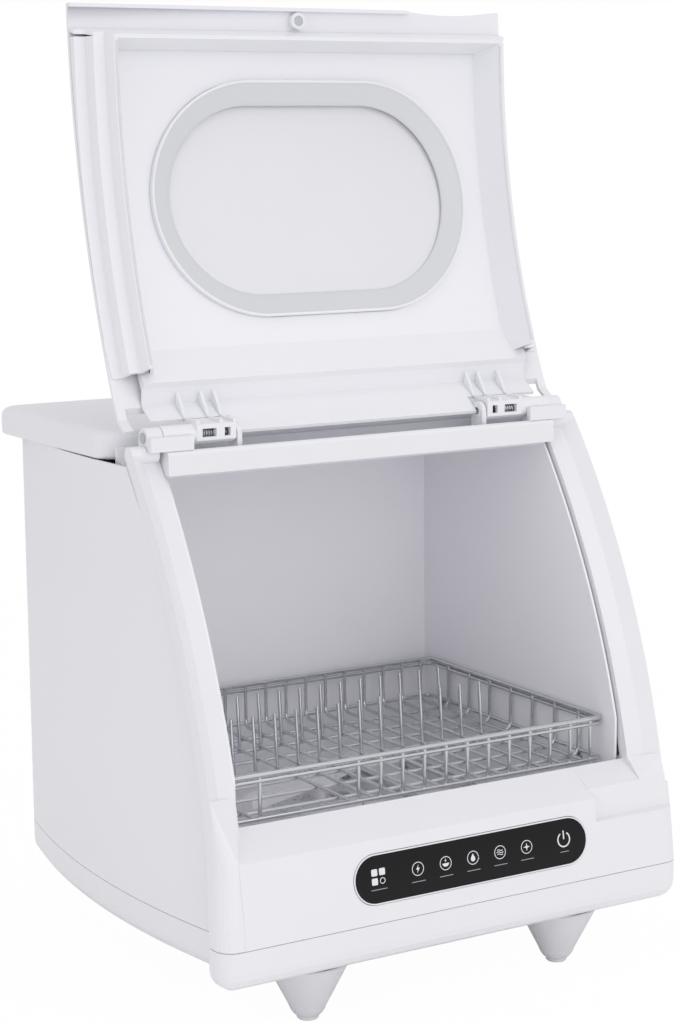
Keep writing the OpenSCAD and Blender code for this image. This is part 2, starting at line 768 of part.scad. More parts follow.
// Outer lid skin: curved sheet, pull flange at the free edge, and the end over the hinge
module lid_shell_closed() {
    difference() {
        union() {
            sweep_about(lid_c, lid_low_a, lid_top_a + 0.15) translate([lid_in_r, -lid_half])
                square([lid_skin, lid_w]);
            sweep_about(lid_c, lid_low_a, lid_low_a + 0.2) translate([lid_in_r - 4, -lid_half])
                square([lid_skin + 3, lid_half + pull_end_x]);
            along_x(-lid_half, lid_half) polygon([
                [lid_at(lid_in_r, lid_top_z - 1), lid_top_z - 1], [lid_at(lid_arc_r, lid_top_z), lid_top_z],
                [hinge_y - 29, hinge_z - 3.5], [hinge_y - 16, hinge_z + 1.5],
                [hinge_y - 15.2, hinge_z - 0.8], [hinge_y - 27, hinge_z - 5.7]
            ]);
        }
        both_sides() block([lug_x0 - 0.5, hinge_y - 32.5, lid_top_z - 21],
                           [block_x1 + 0.5, hinge_y + 18, hinge_z + 25]);
        window_prism(-ring_band + 2, liner_floor_r, lid_r + 20);
        // shallow finger notch in the free edge
        on_lid(lid_low_a, lid_arc_r - 30) translate([pull_end_x + 41, -300 + 3.4, 0])
            cylinder(r = 300, h = 60, $fn = arc_fn);
    }
}

module lid_shell() color(white) opened() lid_shell_closed();

function flip(points) = [for (i = [len(points) - 1:-1:0]) [points[i][0], -points[i][1]]];

// Section of the liner in (r, X): panel, inner wall, rim, stepped outer wall and edge wall
module liner_section() {
    rim = half_open - 0.3;
    inner_x = half_open - 14.3;
    floor_out = liner_floor_r + shell_t;
    out = lid_half - 0.5;
    side = [
        [rim_r, rim - 1], [rim_r + 1, rim], [rim_r + 12.5, rim + 2], [rim_r + 14, rim + 10.8],
        [rim_r + 25.5, rim + 12.3], [step_r, out], [step_r + 40, out], [step_r + 40, out - shell_t],
        [step_r + shell_t, out - shell_t], [step_r - 1.5 + shell_t, rim + 12.3 - shell_t],
        [rim_r + 14 + shell_t, rim + 10.6 - shell_t], [rim_r + 12.5 + shell_t, rim + 1.5 - shell_t],
        [rim_r + 4, rim - shell_t], [floor_out, inner_x + 2.5]
    ];
    polygon(concat(side, flip(side), [
        [rim_r, -half_open + 3.3], [liner_floor_r, -inner_x], [liner_floor_r, inner_x],
        [rim_r, half_open - 3.3]
    ]));
}

// Solid envelope of the liner in (r, X)
module liner_envelope() {
    rim = half_open - 0.3;
    out = lid_half - 0.5;
    side = [
        [rim_r, rim - 1], [rim_r + 1, rim], [rim_r + 12.5, rim + 2], [rim_r + 14, rim + 10.8],
        [rim_r + 25.5, rim + 12.3], [step_r, out], [step_r + 40, out]
    ];
    polygon(concat(side, flip(side)));
}

shelf_a = [hinge_y - 33, lid_top_z - 13];
shelf_b = [hinge_y - 32, lid_top_z];

// Inner lid moulding
module lid_liner_closed() {
    tip = [arc_at(rim_r, rim_low_z), rim_low_z];
    crease_z = rim_low_z + 14;
    crease = [arc_at(liner_floor_r, crease_z), crease_z];
    top_z = header_z - 23;
    difference() {
        intersection() {
            union() {
                arc_sweep(liner_low_a + 0.1, liner_top_a) liner_section();
                intersection() {
                    arc_sweep(liner_low_a - 3, liner_top_a) liner_envelope();
                    union() {
                        // free-end wall, inside and outside
                        along_x(-220, 220) polygon([
                            tip, tip + [3, 1.5], crease + [3, 1], crease, crease + [-4, 1],
                            [arc_at(liner_floor_r + 3, crease_z - 2), crease_z - 2]
                        ]);
                        along_x(-220, 220) polygon([
                            tip, tip + [0.4, 3], [arc_at(step_r, rim_low_z + 5), rim_low_z + 5],
                            [arc_at(step_r + 30, rim_low_z + 4), rim_low_z + 4],
                            [arc_at(step_r + 30, rim_low_z + 1), rim_low_z + 1],
                            [arc_at(step_r, rim_low_z + 2), rim_low_z + 2]
                        ]);
                    }
                }
                // hinge end: raised ridge, recess and hinge shelf
                along_x(-half_open + 0.3, half_open - 0.3) polygon([
                    [arc_at(liner_floor_r, top_z), top_z], shelf_a + [2, -5], shelf_a, shelf_a + [0, 4],
                    shelf_b, [hinge_y + 0.5, hinge_z - 0.5], [hinge_y, hinge_z + 2],
                    shelf_b + [0.8, 2], shelf_b + [-2, -2], shelf_b + [-2.6, -11],
                    [arc_at(liner_floor_r + shell_t, top_z - 2), top_z - 2]
                ]);
            }
            drum_about(lid_c, lid_in_r - liner_gap);
        }
        window_prism(0.2, liner_floor_r - 20, liner_floor_r + 60);
        translate([0, hinge_y, 0]) both_sides()
            block([pin_x0 - 0.5, -15.5, hinge_z - 20], [half_open + 10, 20, hinge_z + 20]);
    }
}

module lid_liner() color(white) opened() lid_liner_closed();

ring_rim_w = 2.5;
ring_rim_up = 4.5;

// Prism of the ring's outline moved by grow, up to radius r of the front arc
module ring_prism(grow, r) {
    intersection() {
        window_prism(grow, rim_r - 2, lid_r + 30);
        arc_drum(r);
    }
}

// Ring between the liner panel and the pane: a raised rim and a band that steps down to the pane
module window_frame_closed() {
    difference() {
        intersection() {
            window_prism(0, rim_r, lid_r + 30);
            ring_shell(liner_floor_r - ring_rim_up);
            drum_about(lid_c, lid_in_r - liner_gap);
        }
        for (i = [0:2])
            ring_prism(-ring_rim_w - i * (ring_band - ring_rim_w) / 3, liner_floor_r + 0.5 + i * 1.5);
        window_prism(-ring_band, rim_r - 4, lid_r + 40);
    }
}

// Everything outside radius r of the front arc, over the width of the lid
module ring_shell(r) {
    arc_sweep(arc_angle(rim_r, lid_low_z), arc_angle(rim_r, header_z)) translate([r, -lid_half])
        square([60, lid_w]);
}

module window_frame() color(pale) opened() window_frame_closed();

// Clear pane, slightly crowned with the lid
module window_pane() color([0.93, 0.93, 0.95, 0.8]) opened() intersection() {
    on_arc(window_a, rim_r) linear_extrude(60)
        racetrack(ring_half_w - ring_band + 1.6, ring_half_h - ring_band + 1.6);
    sweep_about(lid_c, lid_low_a, lid_top_a) translate([lid_in_r, -lid_half])
        square([lid_skin - 0.3, lid_w]);
}

// Soft seal on the rim
module lid_seal() color(pale) opened() {
    both_sides() arc_sweep(liner_low_a + 0.4, liner_top_a - 0.2)
        translate([rim_r - 0.9, half_open - 3.2]) square([0.87, 1.8]);
}

magnet_a = lid_angle(lid_in_r, rim_low_z - 6);

// Magnet of the lid switch, in its round boss on the inside of the skin
module lid_magnet() color(steel) opened()
    on_lid(magnet_a, lid_in_r - 5.5) cylinder(r = 4, h = 5.4);
module magnet_ring() color(white) opened()
    on_lid(magnet_a, lid_in_r - 6) difference() {
        cylinder(r = 6.5, h = 5.9);
        translate([0, 0, -1]) cylinder(r = 4.1, h = 8);
    }

// Lid side of one hinge as it stands on the open lid: barrel, box with two slots, and ribs
module hinge_lug_open() {
    difference() {
        union() {
            x_rod(lug_x0, ear_out - 0.4, hinge_y, hinge_z, knuckle_r);
            along_x(lug_x0, block_x0) polygon([
                [hinge_y - 8, hinge_z - 4.5], [hinge_y - 8.5, hinge_z + 8], [hinge_y + 8, hinge_z + 9],
                [hinge_y + 11.5, hinge_z + 10], [hinge_y + 8, hinge_z]
            ]);
            for (x = [lug_x0, lug_x0 + 11.5, block_x0 - 2.5])
                along_x(x, x + 2.5) polygon([
                    [hinge_y - 8, hinge_z + 7.5], [hinge_y - 8, hinge_z + 10.8],
                    [hinge_y + 8, hinge_z + 10.8], [hinge_y + 13.2, hinge_z + 11.7],
                    [hinge_y + 21, hinge_z + 23.5], [hinge_y + 25, hinge_z + 29],
                    [hinge_y + 26, hinge_z + 19.2], [hinge_y + 13, hinge_z + 10.2],
                    [hinge_y + 8, hinge_z + 7.5]
                ]);
        }
        x_rod(lug_x0 - 1, ear_out + 1, hinge_y, hinge_z, pin_d / 2 + pin_fit);
        // spring pocket, open through two slots
        x_rod(lug_x0 + 4, block_x0 - 4, hinge_y, hinge_z, pin_d / 2 + spring_wire_d + 0.4);
        for (x = [[lug_x0 + 5, lug_x0 + 10], [block_x0 - 17, block_x0 - 5]])
            block([x[0], hinge_y - 10, hinge_z - 2], [x[1], hinge_y - 2, hinge_z + 4.5]);
    }
}

module hinge_lug_right() color(white) hinge_lug_open();
module hinge_lug_left() color(white) mirror([1, 0, 0]) hinge_lug_open();

// Points of a helix tube about X: n rings of m points
function helix_points(x0, pitch, turns, r, wire, n, m) = [
    for (i = [0:n]) let (a = 360 * turns * i / n, x = x0 + pitch * turns * i / n)
        for (j = [0:m - 1]) let (b = 360 * j / m, q = r + wire / 2 * cos(b))
            [x + wire / 2 * sin(b), q * cos(a), q * sin(a)]
];
function tube_faces(n, m) = concat(
    [[for (j = [0:m - 1]) j]],
    [for (i = [0:n - 1], j = [0:m - 1])
        [i * m + j, (i + 1) * m + j, (i + 1) * m + (j + 1) % m, i * m + (j + 1) % m]],
    [[for (j = [m - 1:-1:0]) n * m + j]]
);

// Torsion springs around the hinge pins
module hinge_springs() color(grey) both_sides() {
    rings = spring_turns * 12;
    pitch = spring_wire_d + 0.5;
    coil_r = pin_d / 2 + 0.15 + spring_wire_d / 2;
    translate([0, hinge_y, hinge_z])
        polyhedron(
            helix_points(block_x0 - 5.5 - pitch * spring_turns, pitch, spring_turns, coil_r,
                         spring_wire_d, rings, 6),
            tube_faces(rings, 6), convexity = 10);
}

// ---------------------------------------------------------------- wash chamber

// Tub: an open-fronted box with ledges for the basket
module wash_tub() color(pale) {
    o = tub_half + tub_t;
    front = lip_reach - 4;
    difference() {
        union() {
            intersection() {
                block([-o, -front, tub_floor_z - tub_t], [o, tub_back + tub_t, tub_top_z + tub_t]);
                arc_drum(edge_r - 4);
            }
        }
        block([-tub_half, -front + tub_t, tub_floor_z], [tub_half, tub_back, tub_top_z]);
        block([-tub_half, -front - 1, lip_z - 3], [tub_half, -front + 30, tub_top_z]);
        z_rod(tub_floor_z - 9, tub_floor_z + 9, 0, spindle_y, sump_r + joint_gap);
        z_rod(tub_floor_z - 9, tub_floor_z + 9, 118, -96, 4.2);
        for (x = [60, 120]) z_rod(tub_floor_z - 9, tub_floor_z + 9, x, 70, 5);
    }
    both_sides() block([tub_half - 6, -front + 12, basket_ledge_z - 4],
                       [tub_half + eps, tub_back - 8, basket_ledge_z]);
}

// Rubber seal between the tub rim and the frame
module tub_gasket() color(grey) {
    both_sides() arc_sweep(arc_angle(edge_r, lip_z + 4), arc_angle(edge_r, header_z - 14))
        translate([edge_r - 16, tub_half + tub_t + 0.2]) square([6, half_open - tub_half - tub_t - 0.4]);
}

// Sump under the tub with its outlets
works_z = base_inner_z + pump_d / 2 + 2;
sump_h = tub_floor_z - works_z + 8;
module sump() color(pale) difference() {
    union() {
        z_rod(tub_floor_z - sump_h, tub_floor_z - tub_t - 0.2, 0, spindle_y, sump_r - 3);
        z_rod(tub_floor_z - tub_t - 4, tub_floor_z - tub_t - 0.2, 0, spindle_y, sump_r + 8);
        y_rod(spindle_y + sump_r - 6, hose_y0 - 0.3, 0, works_z, hose_d / 2);
        x_rod(sump_r - 6, sump_r + 9, spindle_y, works_z, 7);
        x_rod(-pressure_x + 0.3, -sump_r + 6, spindle_y, works_z, hose_d / 2);
    }
    z_rod(tub_floor_z - sump_h + 2.5, tub_floor_z + 1, 0, spindle_y, sump_r - 5.5);
    y_rod(spindle_y, hose_y0 + 1, 0, works_z, hose_d / 2 - 2.5);
    x_rod(-pressure_x - 1, sump_r + 13, spindle_y, works_z, 5);
}

filter_r = filter_d / 2;
filter_lip = 1.6;
spindle_collar = 1.6;
filter_x = spindle_d / 2 + spindle_collar + filter_lip + 0.8 + filter_r;

// Round perforated cover over the sump
module sump_cover() color(white) difference() {
    union() {
        z_rod(tub_floor_z - tub_t, tub_floor_z + 1.2, 0, spindle_y, sump_r);
        z_rod(tub_floor_z + 1.2 - eps, tub_floor_z + 3, 0, spindle_y, sump_r - 3);
    }
    for (a = [0:15:359]) rotate_about([0, spindle_y], a)
        z_rod(tub_floor_z - 5, tub_floor_z + 5, sump_r - 5, 0, 1);
    for (a = [60:30:300]) rotate_about([0, spindle_y], a)
        for (r = [14, 20, 26]) z_rod(tub_floor_z - 5, tub_floor_z + 5, r, 0, 1.5);
    z_rod(tub_floor_z - 5, tub_floor_z + 5, 0, spindle_y, spindle_d / 2 + joint_gap);
    z_rod(tub_floor_z - 5, tub_floor_z + 5, filter_x, spindle_y, filter_r + 0.3);
}

module rotate_about(c, a) {
    translate([c[0], c[1], 0]) rotate([0, 0, a]) children();
}

// Hollow spindle that feeds and carries the spray arm
module spray_spindle() color(pale) {
    difference() {
        union() {
            z_rod(tub_floor_z - sump_h + 3, spray_z + 12, 0, spindle_y, spindle_d / 2);
            z_rod(tub_floor_z + 3.2, spray_z - 5, 0, spindle_y, spindle_d / 2 + spindle_collar);
        }
        z_rod(tub_floor_z - sump_h, spray_z + 5, 0, spindle_y, spindle_d / 2 - 2.2);
    }
}

// Two-bladed spray arm with its row of jets
module spray_arm() color(steel) difference() {
    union() {
        translate([0, spindle_y, spray_z - 4]) rotate([0, 0, 25]) linear_extrude(8)
            for (s = [-1, 1]) polygon([
                [0, -s * 13], [s * spray_l / 2 - s * 10, -s * 9], [s * spray_l / 2, -s * 4],
                [s * spray_l / 2, s * 4], [s * spray_l / 2 - s * 10, s * 9], [0, s * 13]
            ]);
        z_rod(spray_z - 4.5, spray_z + 6.5, 0, spindle_y, 16);
    }
    z_rod(spray_z - 9, spray_z + 9, 0, spindle_y, spindle_d / 2 + pin_fit + 0.02);
    translate([0, spindle_y, 0]) rotate([0, 0, 25])
        for (s = [-1, 1], i = [1:5]) z_rod(spray_z + 1, spray_z + 5, s * (24 + i * 18), 0, 1.4);
}

// Domed nut that keeps the arm on the spindle
module spray_nut() color(pale) translate([0, spindle_y, spray_z + 7]) difference() {
    intersection() {
        cylinder(r = 9, h = 9);
        translate([0, 0, -8]) sphere(r = 17);
    }
    translate([0, 0, -1]) cylinder(r = spindle_d / 2 + 0.05, h = 6.2);
}

// Lift-out filter cup beside the spindle
module filter_cup() color(pale) difference() {
    union() {
        z_rod(tub_floor_z - 26, tub_floor_z + 4, filter_x, spindle_y, filter_r);
        z_rod(tub_floor_z + 3.2, tub_floor_z + 4.8, filter_x, spindle_y, filter_r + filter_lip);
    }
    difference() {
        z_rod(tub_floor_z - 24.5, tub_floor_z + 9, filter_x, spindle_y, filter_r - 1.3);
        block([filter_x - 1, spindle_y - 30, tub_floor_z], [filter_x + 1, spindle_y + 30, tub_floor_z + 4.8]);
    }
}

// Tube heater lying over the tub floor
module heater() color(steel) {
    z = tub_floor_z + 9;
    r = 3.5;
    x0 = 60;
    x1 = 120;
    y1 = 70;
    for (x = [x0, x1]) {
        z_rod(tub_floor_z - 22, z, x, y1, r);
        y_rod(-40, y1, x, z, r);
        translate([x, y1, z]) sphere(r = r);
    }
    translate([(x0 + x1) / 2, -40, z]) rotate([0, 0, 180]) rotate_extrude(angle = 180)
        translate([(x1 - x0) / 2, 0]) circle(r = r, $fn = 24);
    for (x = [x0, x1]) z_rod(tub_floor_z - tub_t - 4, tub_floor_z - tub_t - 0.2, x, y1, 9);
}

// Guide post of the water-level float
module float_guide() color(white) difference() {
    union() {
        z_rod(tub_floor_z + 0.2, tub_floor_z + 20, 118, -96, 7);
        z_rod(tub_floor_z - 14, tub_floor_z + 1, 118, -96, 4);
    }
    z_rod(tub_floor_z + 3, tub_floor_z + 21, 118, -96, 5.4);
    z_rod(tub_floor_z - 15, tub_floor_z + 4, 118, -96, 2);
}

// Dark float cap that rises with the water
module float_cap() color(black) {
    z_rod(tub_floor_z + 20.5, tub_floor_z + 25, 118, -96, 8);
    z_rod(tub_floor_z + 8, tub_floor_z + 20.6, 118, -96, 5);
    z_rod(tub_floor_z - 10, tub_floor_z + 8.1, 118, -96, 1.6);
}

// ---------------------------------------------------------------- basket

module wire(p, q, d) {
    v = q - p;
    l = norm(v);
    b = acos(v[2] / l);
    c = atan2(v[1], v[0]);
    translate(p) rotate([0, b, c]) cylinder(d = d, h = l, $fn = wire_fn);
}

wire_n = floor((basket_w - 2 * wire_pitch) / (2 * wire_pitch));
open_x0 = -140;
open_x1 = -70;
wire_xs = [for (i = [-wire_n:wire_n]) i * wire_pitch];
// the front left of the basket is left open for a wide bowl, but for one wire
run_xs = concat([open_x0 - 6], [for (x = wire_xs) if (x > open_x1) x]);
cross_n = floor((basket_front + basket_back) / 60);
cross_ys = [for (i = [0:cross_n]) -basket_front + (basket_front + basket_back) * i / cross_n];

// Wire basket: rail, U-shaped wires, cross wires and plate tines
module basket() color(steel) {
    f = -basket_front;
    b = basket_back;
    zr = basket_rail_z;
    zf = basket_z;
    for (z = [zr, zf]) {
        d = z == zr ? rail_d : rail_d - 0.4;
        for (y = [f, b]) wire([-basket_half, y, z], [basket_half, y, z], d);
        for (x = [-basket_half, basket_half]) wire([x, f - d / 2, z], [x, b + d / 2, z], d);
    }
    for (x = run_xs) {
        wire([x, f + 0.5, zf - 1], [x, f + 0.5, zr], wire_d);
        wire([x, b - 0.5, zf - 1], [x, b - 0.5, zr], wire_d);
        wire([x, f, zf + 1], [x, b, zf + 1], wire_d);
    }
    for (x = [-basket_half, basket_half]) for (y = cross_ys)
        wire([x, y, zf], [x, y, zr], wire_d);
    for (y = [for (i = [1:cross_n - 1]) cross_ys[i]])
        wire([-basket_half, y, zf - 1], [basket_half, y, zf - 1], wire_d);
    for (x = wire_xs, y = [cross_ys[2], cross_ys[3]])
        wire([x, y, zf], [x, y + 4, zf + tine_h], wire_d);
}

// Plastic caps that rest on the tub ledges
module basket_caps() color(pale) for (x = [-1, 1], y = [-basket_front + 30, basket_back - 20])
    translate([x * basket_half, y, basket_z]) rotate([-90, 0, 0]) difference() {
        cylinder(r = rail_d / 2 + cap_wall, h = 12);
        translate([0, 0, -1]) cylinder(r = rail_d / 2 - 0.1, h = 14);
    }

// ---------------------------------------------------------------- works

elbow_r = 18.5;
pressure_x = 42;
hose_y0 = 65.5;
pump_x = -58;
pump_y = hose_y0 + elbow_r;
pump_z = works_z;

// Quarter bend of tube starting at the origin along +X and turning towards +Y
module bend(r) {
    rotate([0, 0, -90]) translate([-r, 0, 0]) rotate_extrude(angle = 90) translate([r, 0])
        difference() {
            circle(d = hose_d, $fn = 32);
            circle(d = hose_d - 5, $fn = 32);
        }
}

// Straight length of tube along +X from the origin
module tube(l) {
    rotate([0, 90, 0]) difference() {
        cylinder(d = hose_d, h = l);
        translate([0, 0, -1]) cylinder(d = hose_d - 5, h = l + 2);
    }
}

// Wash pump volute
module wash_pump() color(grey) difference() {
    union() {
        x_rod(pump_x - 10, pump_x + 10, pump_y, pump_z, pump_d / 2);
        y_rod(pump_y - pump_d / 2 - 9, pump_y - 20, pump_x, pump_z, hose_d / 2);
        x_rod(pump_x + 9, pump_x + 21, pump_y, pump_z, hose_d / 2);
    }
    x_rod(pump_x - 7.5, pump_x + 7.5, pump_y, pump_z, pump_d / 2 - 3);
    x_rod(pump_x + 5, pump_x + 23, pump_y, pump_z, 5.5);
    y_rod(pump_y - pump_d / 2 - 10, pump_y, pump_x, pump_z, 5.5);
    x_rod(pump_x - 11, pump_x, pump_y, pump_z, 4.05);
}

// Pump impeller on its shaft
module wash_impeller() color(pale) {
    x_rod(pump_x - 6, pump_x - 3, pump_y, pump_z, pump_d / 2 - 5);
    for (a = [0:60:359]) translate([pump_x - 3.1, pump_y, pump_z]) rotate([a, 0, 0])
        translate([0, 3, -1]) cube([6, pump_d / 2 - 9, 2]);
    x_rod(pump_x - 18, pump_x + 3, pump_y, pump_z, 4);
}

// Wash motor
module wash_motor() color(grey) difference() {
    union() {
        x_rod(pump_x - 12 - motor_l, pump_x - 12, pump_y, pump_z, motor_d / 2);
        x_rod(pump_x - 12.1, pump_x - 10.2, pump_y, pump_z, motor_d / 2 + 2.5);
    }
    x_rod(pump_x - 19, pump_x - 9, pump_y, pump_z, 4.05);
}

drain_pump_x = 84;
drain_low_z = base_inner_z + 27.5;

// Drain pump beside the sump
module drain_pump() color(grey) {
    z_rod(base_inner_z + 0.5, works_z + 9, drain_pump_x, spindle_y, 20);
    x_rod(sump_r + 9.3, drain_pump_x - 18, spindle_y, works_z, 7);
    y_rod(spindle_y + 18, spindle_y + 34.7, drain_pump_x, drain_low_z, hose_d / 2);
}

// Hoses from the sump to the wash pump and back to the spindle
module wash_hoses() color(black) {
    translate([0, hose_y0, works_z]) rotate([0, 0, 90]) bend(elbow_r);
    translate([pump_x + 21.3, pump_y, works_z]) tube(-pump_x - 21.3 - elbow_r - 0.0);
    translate([pump_x, pump_y - pump_d / 2 - 9.3, works_z]) rotate([0, 0, -90])
        tube(pump_y - pump_d / 2 - 9.3 - spindle_y - 16);
    translate([-pressure_x, spindle_y, works_z]) rotate([0, 0, 180]) mirror([0, 1, 0]) bend(16);
}

// Drain hose from the drain pump to the rear connector
module drain_hose() color(grey) {
    y0 = spindle_y + 35;
    y1 = rear_y - 50;
    translate([drain_pump_x, y0, drain_low_z]) rotate([0, 0, 90]) tube(y1 - y0);
    translate([drain_pump_x, y1, drain_low_z]) rotate([0, 0, 90]) rotate([90, 0, 0]) bend(16);
    translate([drain_pump_x, y1 + 32, drain_low_z + 32]) rotate([0, 0, -90]) rotate([-90, 0, 0]) bend(16);
}

// Water tank behind the tub
module water_tank() color(pale) difference() {
    half = tank_w / 2;
    block([-half, tub_back + tub_t + 5, tank_low_z], [half, rear_y - shell_t - 6, deck_z - 16]);
    block([-half + tub_t, tub_back + 2 * tub_t + 5, tank_low_z + tub_t],
          [half - tub_t, rear_y - shell_t - tub_t - 6, deck_z - 16 - tub_t]);
    z_rod(deck_z - 25, deck_z, 100, rear_y - 38, 12);
}

// Fill valve and its connector
module fill_valve() color(white) {
    block([inlet_x - 16, rear_y - 52, port_z - 16], [inlet_x + 16, rear_y - 20, port_z + 16]);
    z_rod(port_z + 15, tank_low_z - 0.5, inlet_x, rear_y - 38, 6);
}

// Connector with a collar in the wall, an inner flange, and the outer spigot of diameter d
module connector(x, d, bore_r, inner) difference() {
    union() {
        y_rod(rear_y - inner, rear_y - shell_t - 1, x, port_z, d / 2 - 2);
        y_rod(rear_y - shell_t - 4, rear_y + collar_out, x, port_z, d / 2 + collar_t);
        y_rod(rear_y - shell_t - 4, rear_y - shell_t - 0.3, x, port_z, d / 2 + collar_t + 2.5);
        y_rod(rear_y, port_end, x, port_z, d / 2);
    }
    y_rod(rear_y - 21, port_end + 1, x, port_z, bore_r);
}

module inlet_connector() color(white) connector(inlet_x, inlet_d, inlet_d / 2 - 4, 19.8);
module drain_connector() color(grey) connector(drain_x, drain_d, drain_d / 2 - 4, 17.5);

// Gland where the mains lead would enter
module cord_gland() color(black) difference() {
    union() {
        y_rod(rear_y - 8, rear_y + 4, gland_x, port_z, 8);
        y_rod(rear_y + 0.2, rear_y + 3, gland_x, port_z, 11);
    }
    y_rod(rear_y - 9, rear_y + 5, gland_x, port_z, 4);
}

// Circuit boards
module control_board() color([0.1, 0.35, 0.2]) {
    block([panel_x - 90, -lip_reach - 14, panel_z - 16], [panel_x + 90, -lip_reach - 12.4, panel_z + 16]);
    for (i = [0:6]) block([panel_x - 82 + i * 26, -lip_reach - 16, panel_z - 4],
                          [panel_x - 74 + i * 26, -lip_reach - 13.9, panel_z + 4]);
}

module power_board() color([0.1, 0.35, 0.2]) {
    x0 = -housing_half + 59;
    z = base_inner_z + 8;
    block([x0, -power_l, z], [x0 + power_w, 0, z + 1.6]);
    block([x0 + 10, -power_l + 20, z + 1.5], [x0 + 38, -power_l + 48, z + 26]);
    block([x0 + 46, -power_l + 24, z + 1.5], [x0 + 66, -power_l + 50, z + 20]);
    for (x = [x0 + 6, x0 + power_w - 6], y = [-power_l + 6, -6]) z_rod(base_inner_z, z + 0.1, x, y, 3);
}

// Reed switch of the lid behind the ledge
module lid_switch() color(black)
    block([-7.6, -lip_reach - 15.6, ledge_z - 4], [7.6, -lip_reach - 8.4, ledge_z + 4]);

// ---------------------------------------------------------------- fasteners

module base_screws() color(steel) for (c = foot_centres)
    z_rod(16, base_inner_z + 2, c[0], c[1], 2.2);

module hinge_screws() color(steel) both_sides() for (x = [lug_x0 + 6, half_open - 12]) {
    z_rod(header_z, trough_z + 3, x, -block_back + 4, 1.4);
    z_rod(trough_z + 3 + eps, trough_z + 4.6, x, -block_back + 4, 3);
}

// ---------------------------------------------------------------- the nodes

base_pan();
feet();
foot_pads();
side_panel_left();
side_panel_right();
rear_cover();
top_deck();
front_frame();
panel_bezel();
touch_panel();
header_bar();
hinge_block_left();
hinge_block_right();
hinge_pin_left();
hinge_pin_right();
lid_shell();
lid_liner();
window_frame();
window_pane();
lid_seal();
lid_magnet();
magnet_ring();
hinge_lug_left();
hinge_lug_right();
hinge_springs();
wash_tub();
tub_gasket();
sump();
sump_cover();
spray_spindle();
spray_arm();
spray_nut();
filter_cup();
heater();
float_guide();
float_cap();
basket();
basket_caps();
wash_pump();
wash_impeller();
wash_motor();
drain_pump();
wash_hoses();
drain_hose();
water_tank();
fill_valve();
inlet_connector();
drain_connector();
cord_gland();
control_board();
power_board();
lid_switch();
rear_screws();
base_screws();
hinge_screws();
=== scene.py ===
"""Looks of a countertop dishwasher with a lift-up curved lid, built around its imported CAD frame.

Each sub-assembly is a class that takes the CAD nodes it dresses and adds the pieces that stand
for them. Sizes are in metres, in the frame's own axes: +X right, -Y front, +Z up.
"""

import logging
import math
from dataclasses import dataclass, field
from enum import Enum
from typing import Dict, List, Mapping, Sequence, Tuple

import bmesh
import bpy
from mathutils import Matrix, Vector


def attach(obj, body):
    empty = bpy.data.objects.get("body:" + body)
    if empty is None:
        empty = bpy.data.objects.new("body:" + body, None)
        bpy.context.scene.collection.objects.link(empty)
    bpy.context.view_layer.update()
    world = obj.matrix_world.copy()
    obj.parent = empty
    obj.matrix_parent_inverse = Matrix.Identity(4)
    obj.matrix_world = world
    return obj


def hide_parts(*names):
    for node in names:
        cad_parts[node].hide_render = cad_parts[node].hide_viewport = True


LOG = logging.getLogger("dishwasher")
MM = 0.001
Colour = Tuple[float, float, float, float]
Point = Tuple[float, float, float]

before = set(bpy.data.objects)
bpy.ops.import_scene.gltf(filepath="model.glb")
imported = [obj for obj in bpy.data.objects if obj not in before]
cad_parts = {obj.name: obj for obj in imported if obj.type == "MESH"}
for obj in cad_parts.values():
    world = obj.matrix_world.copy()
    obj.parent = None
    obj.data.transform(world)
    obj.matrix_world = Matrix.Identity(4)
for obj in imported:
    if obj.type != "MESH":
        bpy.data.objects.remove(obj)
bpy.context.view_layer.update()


# ---------------------------------------------------------------- colour and node helpers


def srgb(code: str, alpha: float = 1.0) -> Colour:
    """Turn an sRGB hex code into the linear colour that a socket takes.

    Args:
        code: six hex digits, with or without a leading hash.
        alpha: opacity to go with the colour.

    Returns:
        Linear red, green and blue with alpha.
    """
    digits = code.lstrip("#")
    parts = [int(digits[i : i + 2], 16) / 255 for i in (0, 2, 4)]
    linear = [c / 12.92 if c <= 0.04045 else ((c + 0.055) / 1.055) ** 2.4 for c in parts]
    return (linear[0], linear[1], linear[2], alpha)


def add_node(
    tree: bpy.types.NodeTree,
    kind: str,
    settings: Mapping[str, object] | None = None,
    inputs: Mapping[str | int, object] | None = None,
    links: Mapping[str | int, bpy.types.NodeSocket] | None = None,
) -> bpy.types.Node:
    """Add one shader node with its settings, socket values and incoming links.

    Args:
        tree: the material's or world's node tree.
        kind: the node's type name.
        settings: attributes of the node to set.
        inputs: values by input socket name or index.
        links: output sockets to link, by input socket name or index.

    Returns:
        The new node.
    """
    node = tree.nodes.new(kind)
    for name, value in (settings or {}).items():
        setattr(node, name, value)
    for name, value in (inputs or {}).items():
        node.inputs[name].default_value = value
    for name, socket in (links or {}).items():
        tree.links.new(socket, node.inputs[name])
    return node


def empty_material(name: str) -> Tuple[bpy.types.Material, bpy.types.NodeTree, bpy.types.Node]:
    """Make a node material with nothing in it but its output.

    Args:
        name: the material's name.

    Returns:
        The material, its node tree and its output node.
    """
    material = bpy.data.materials.new(name)
    material.use_nodes = True
    tree = material.node_tree
    tree.nodes.clear()
    output = add_node(tree, "ShaderNodeOutputMaterial")
    return material, tree, output


# ---------------------------------------------------------------- finishes


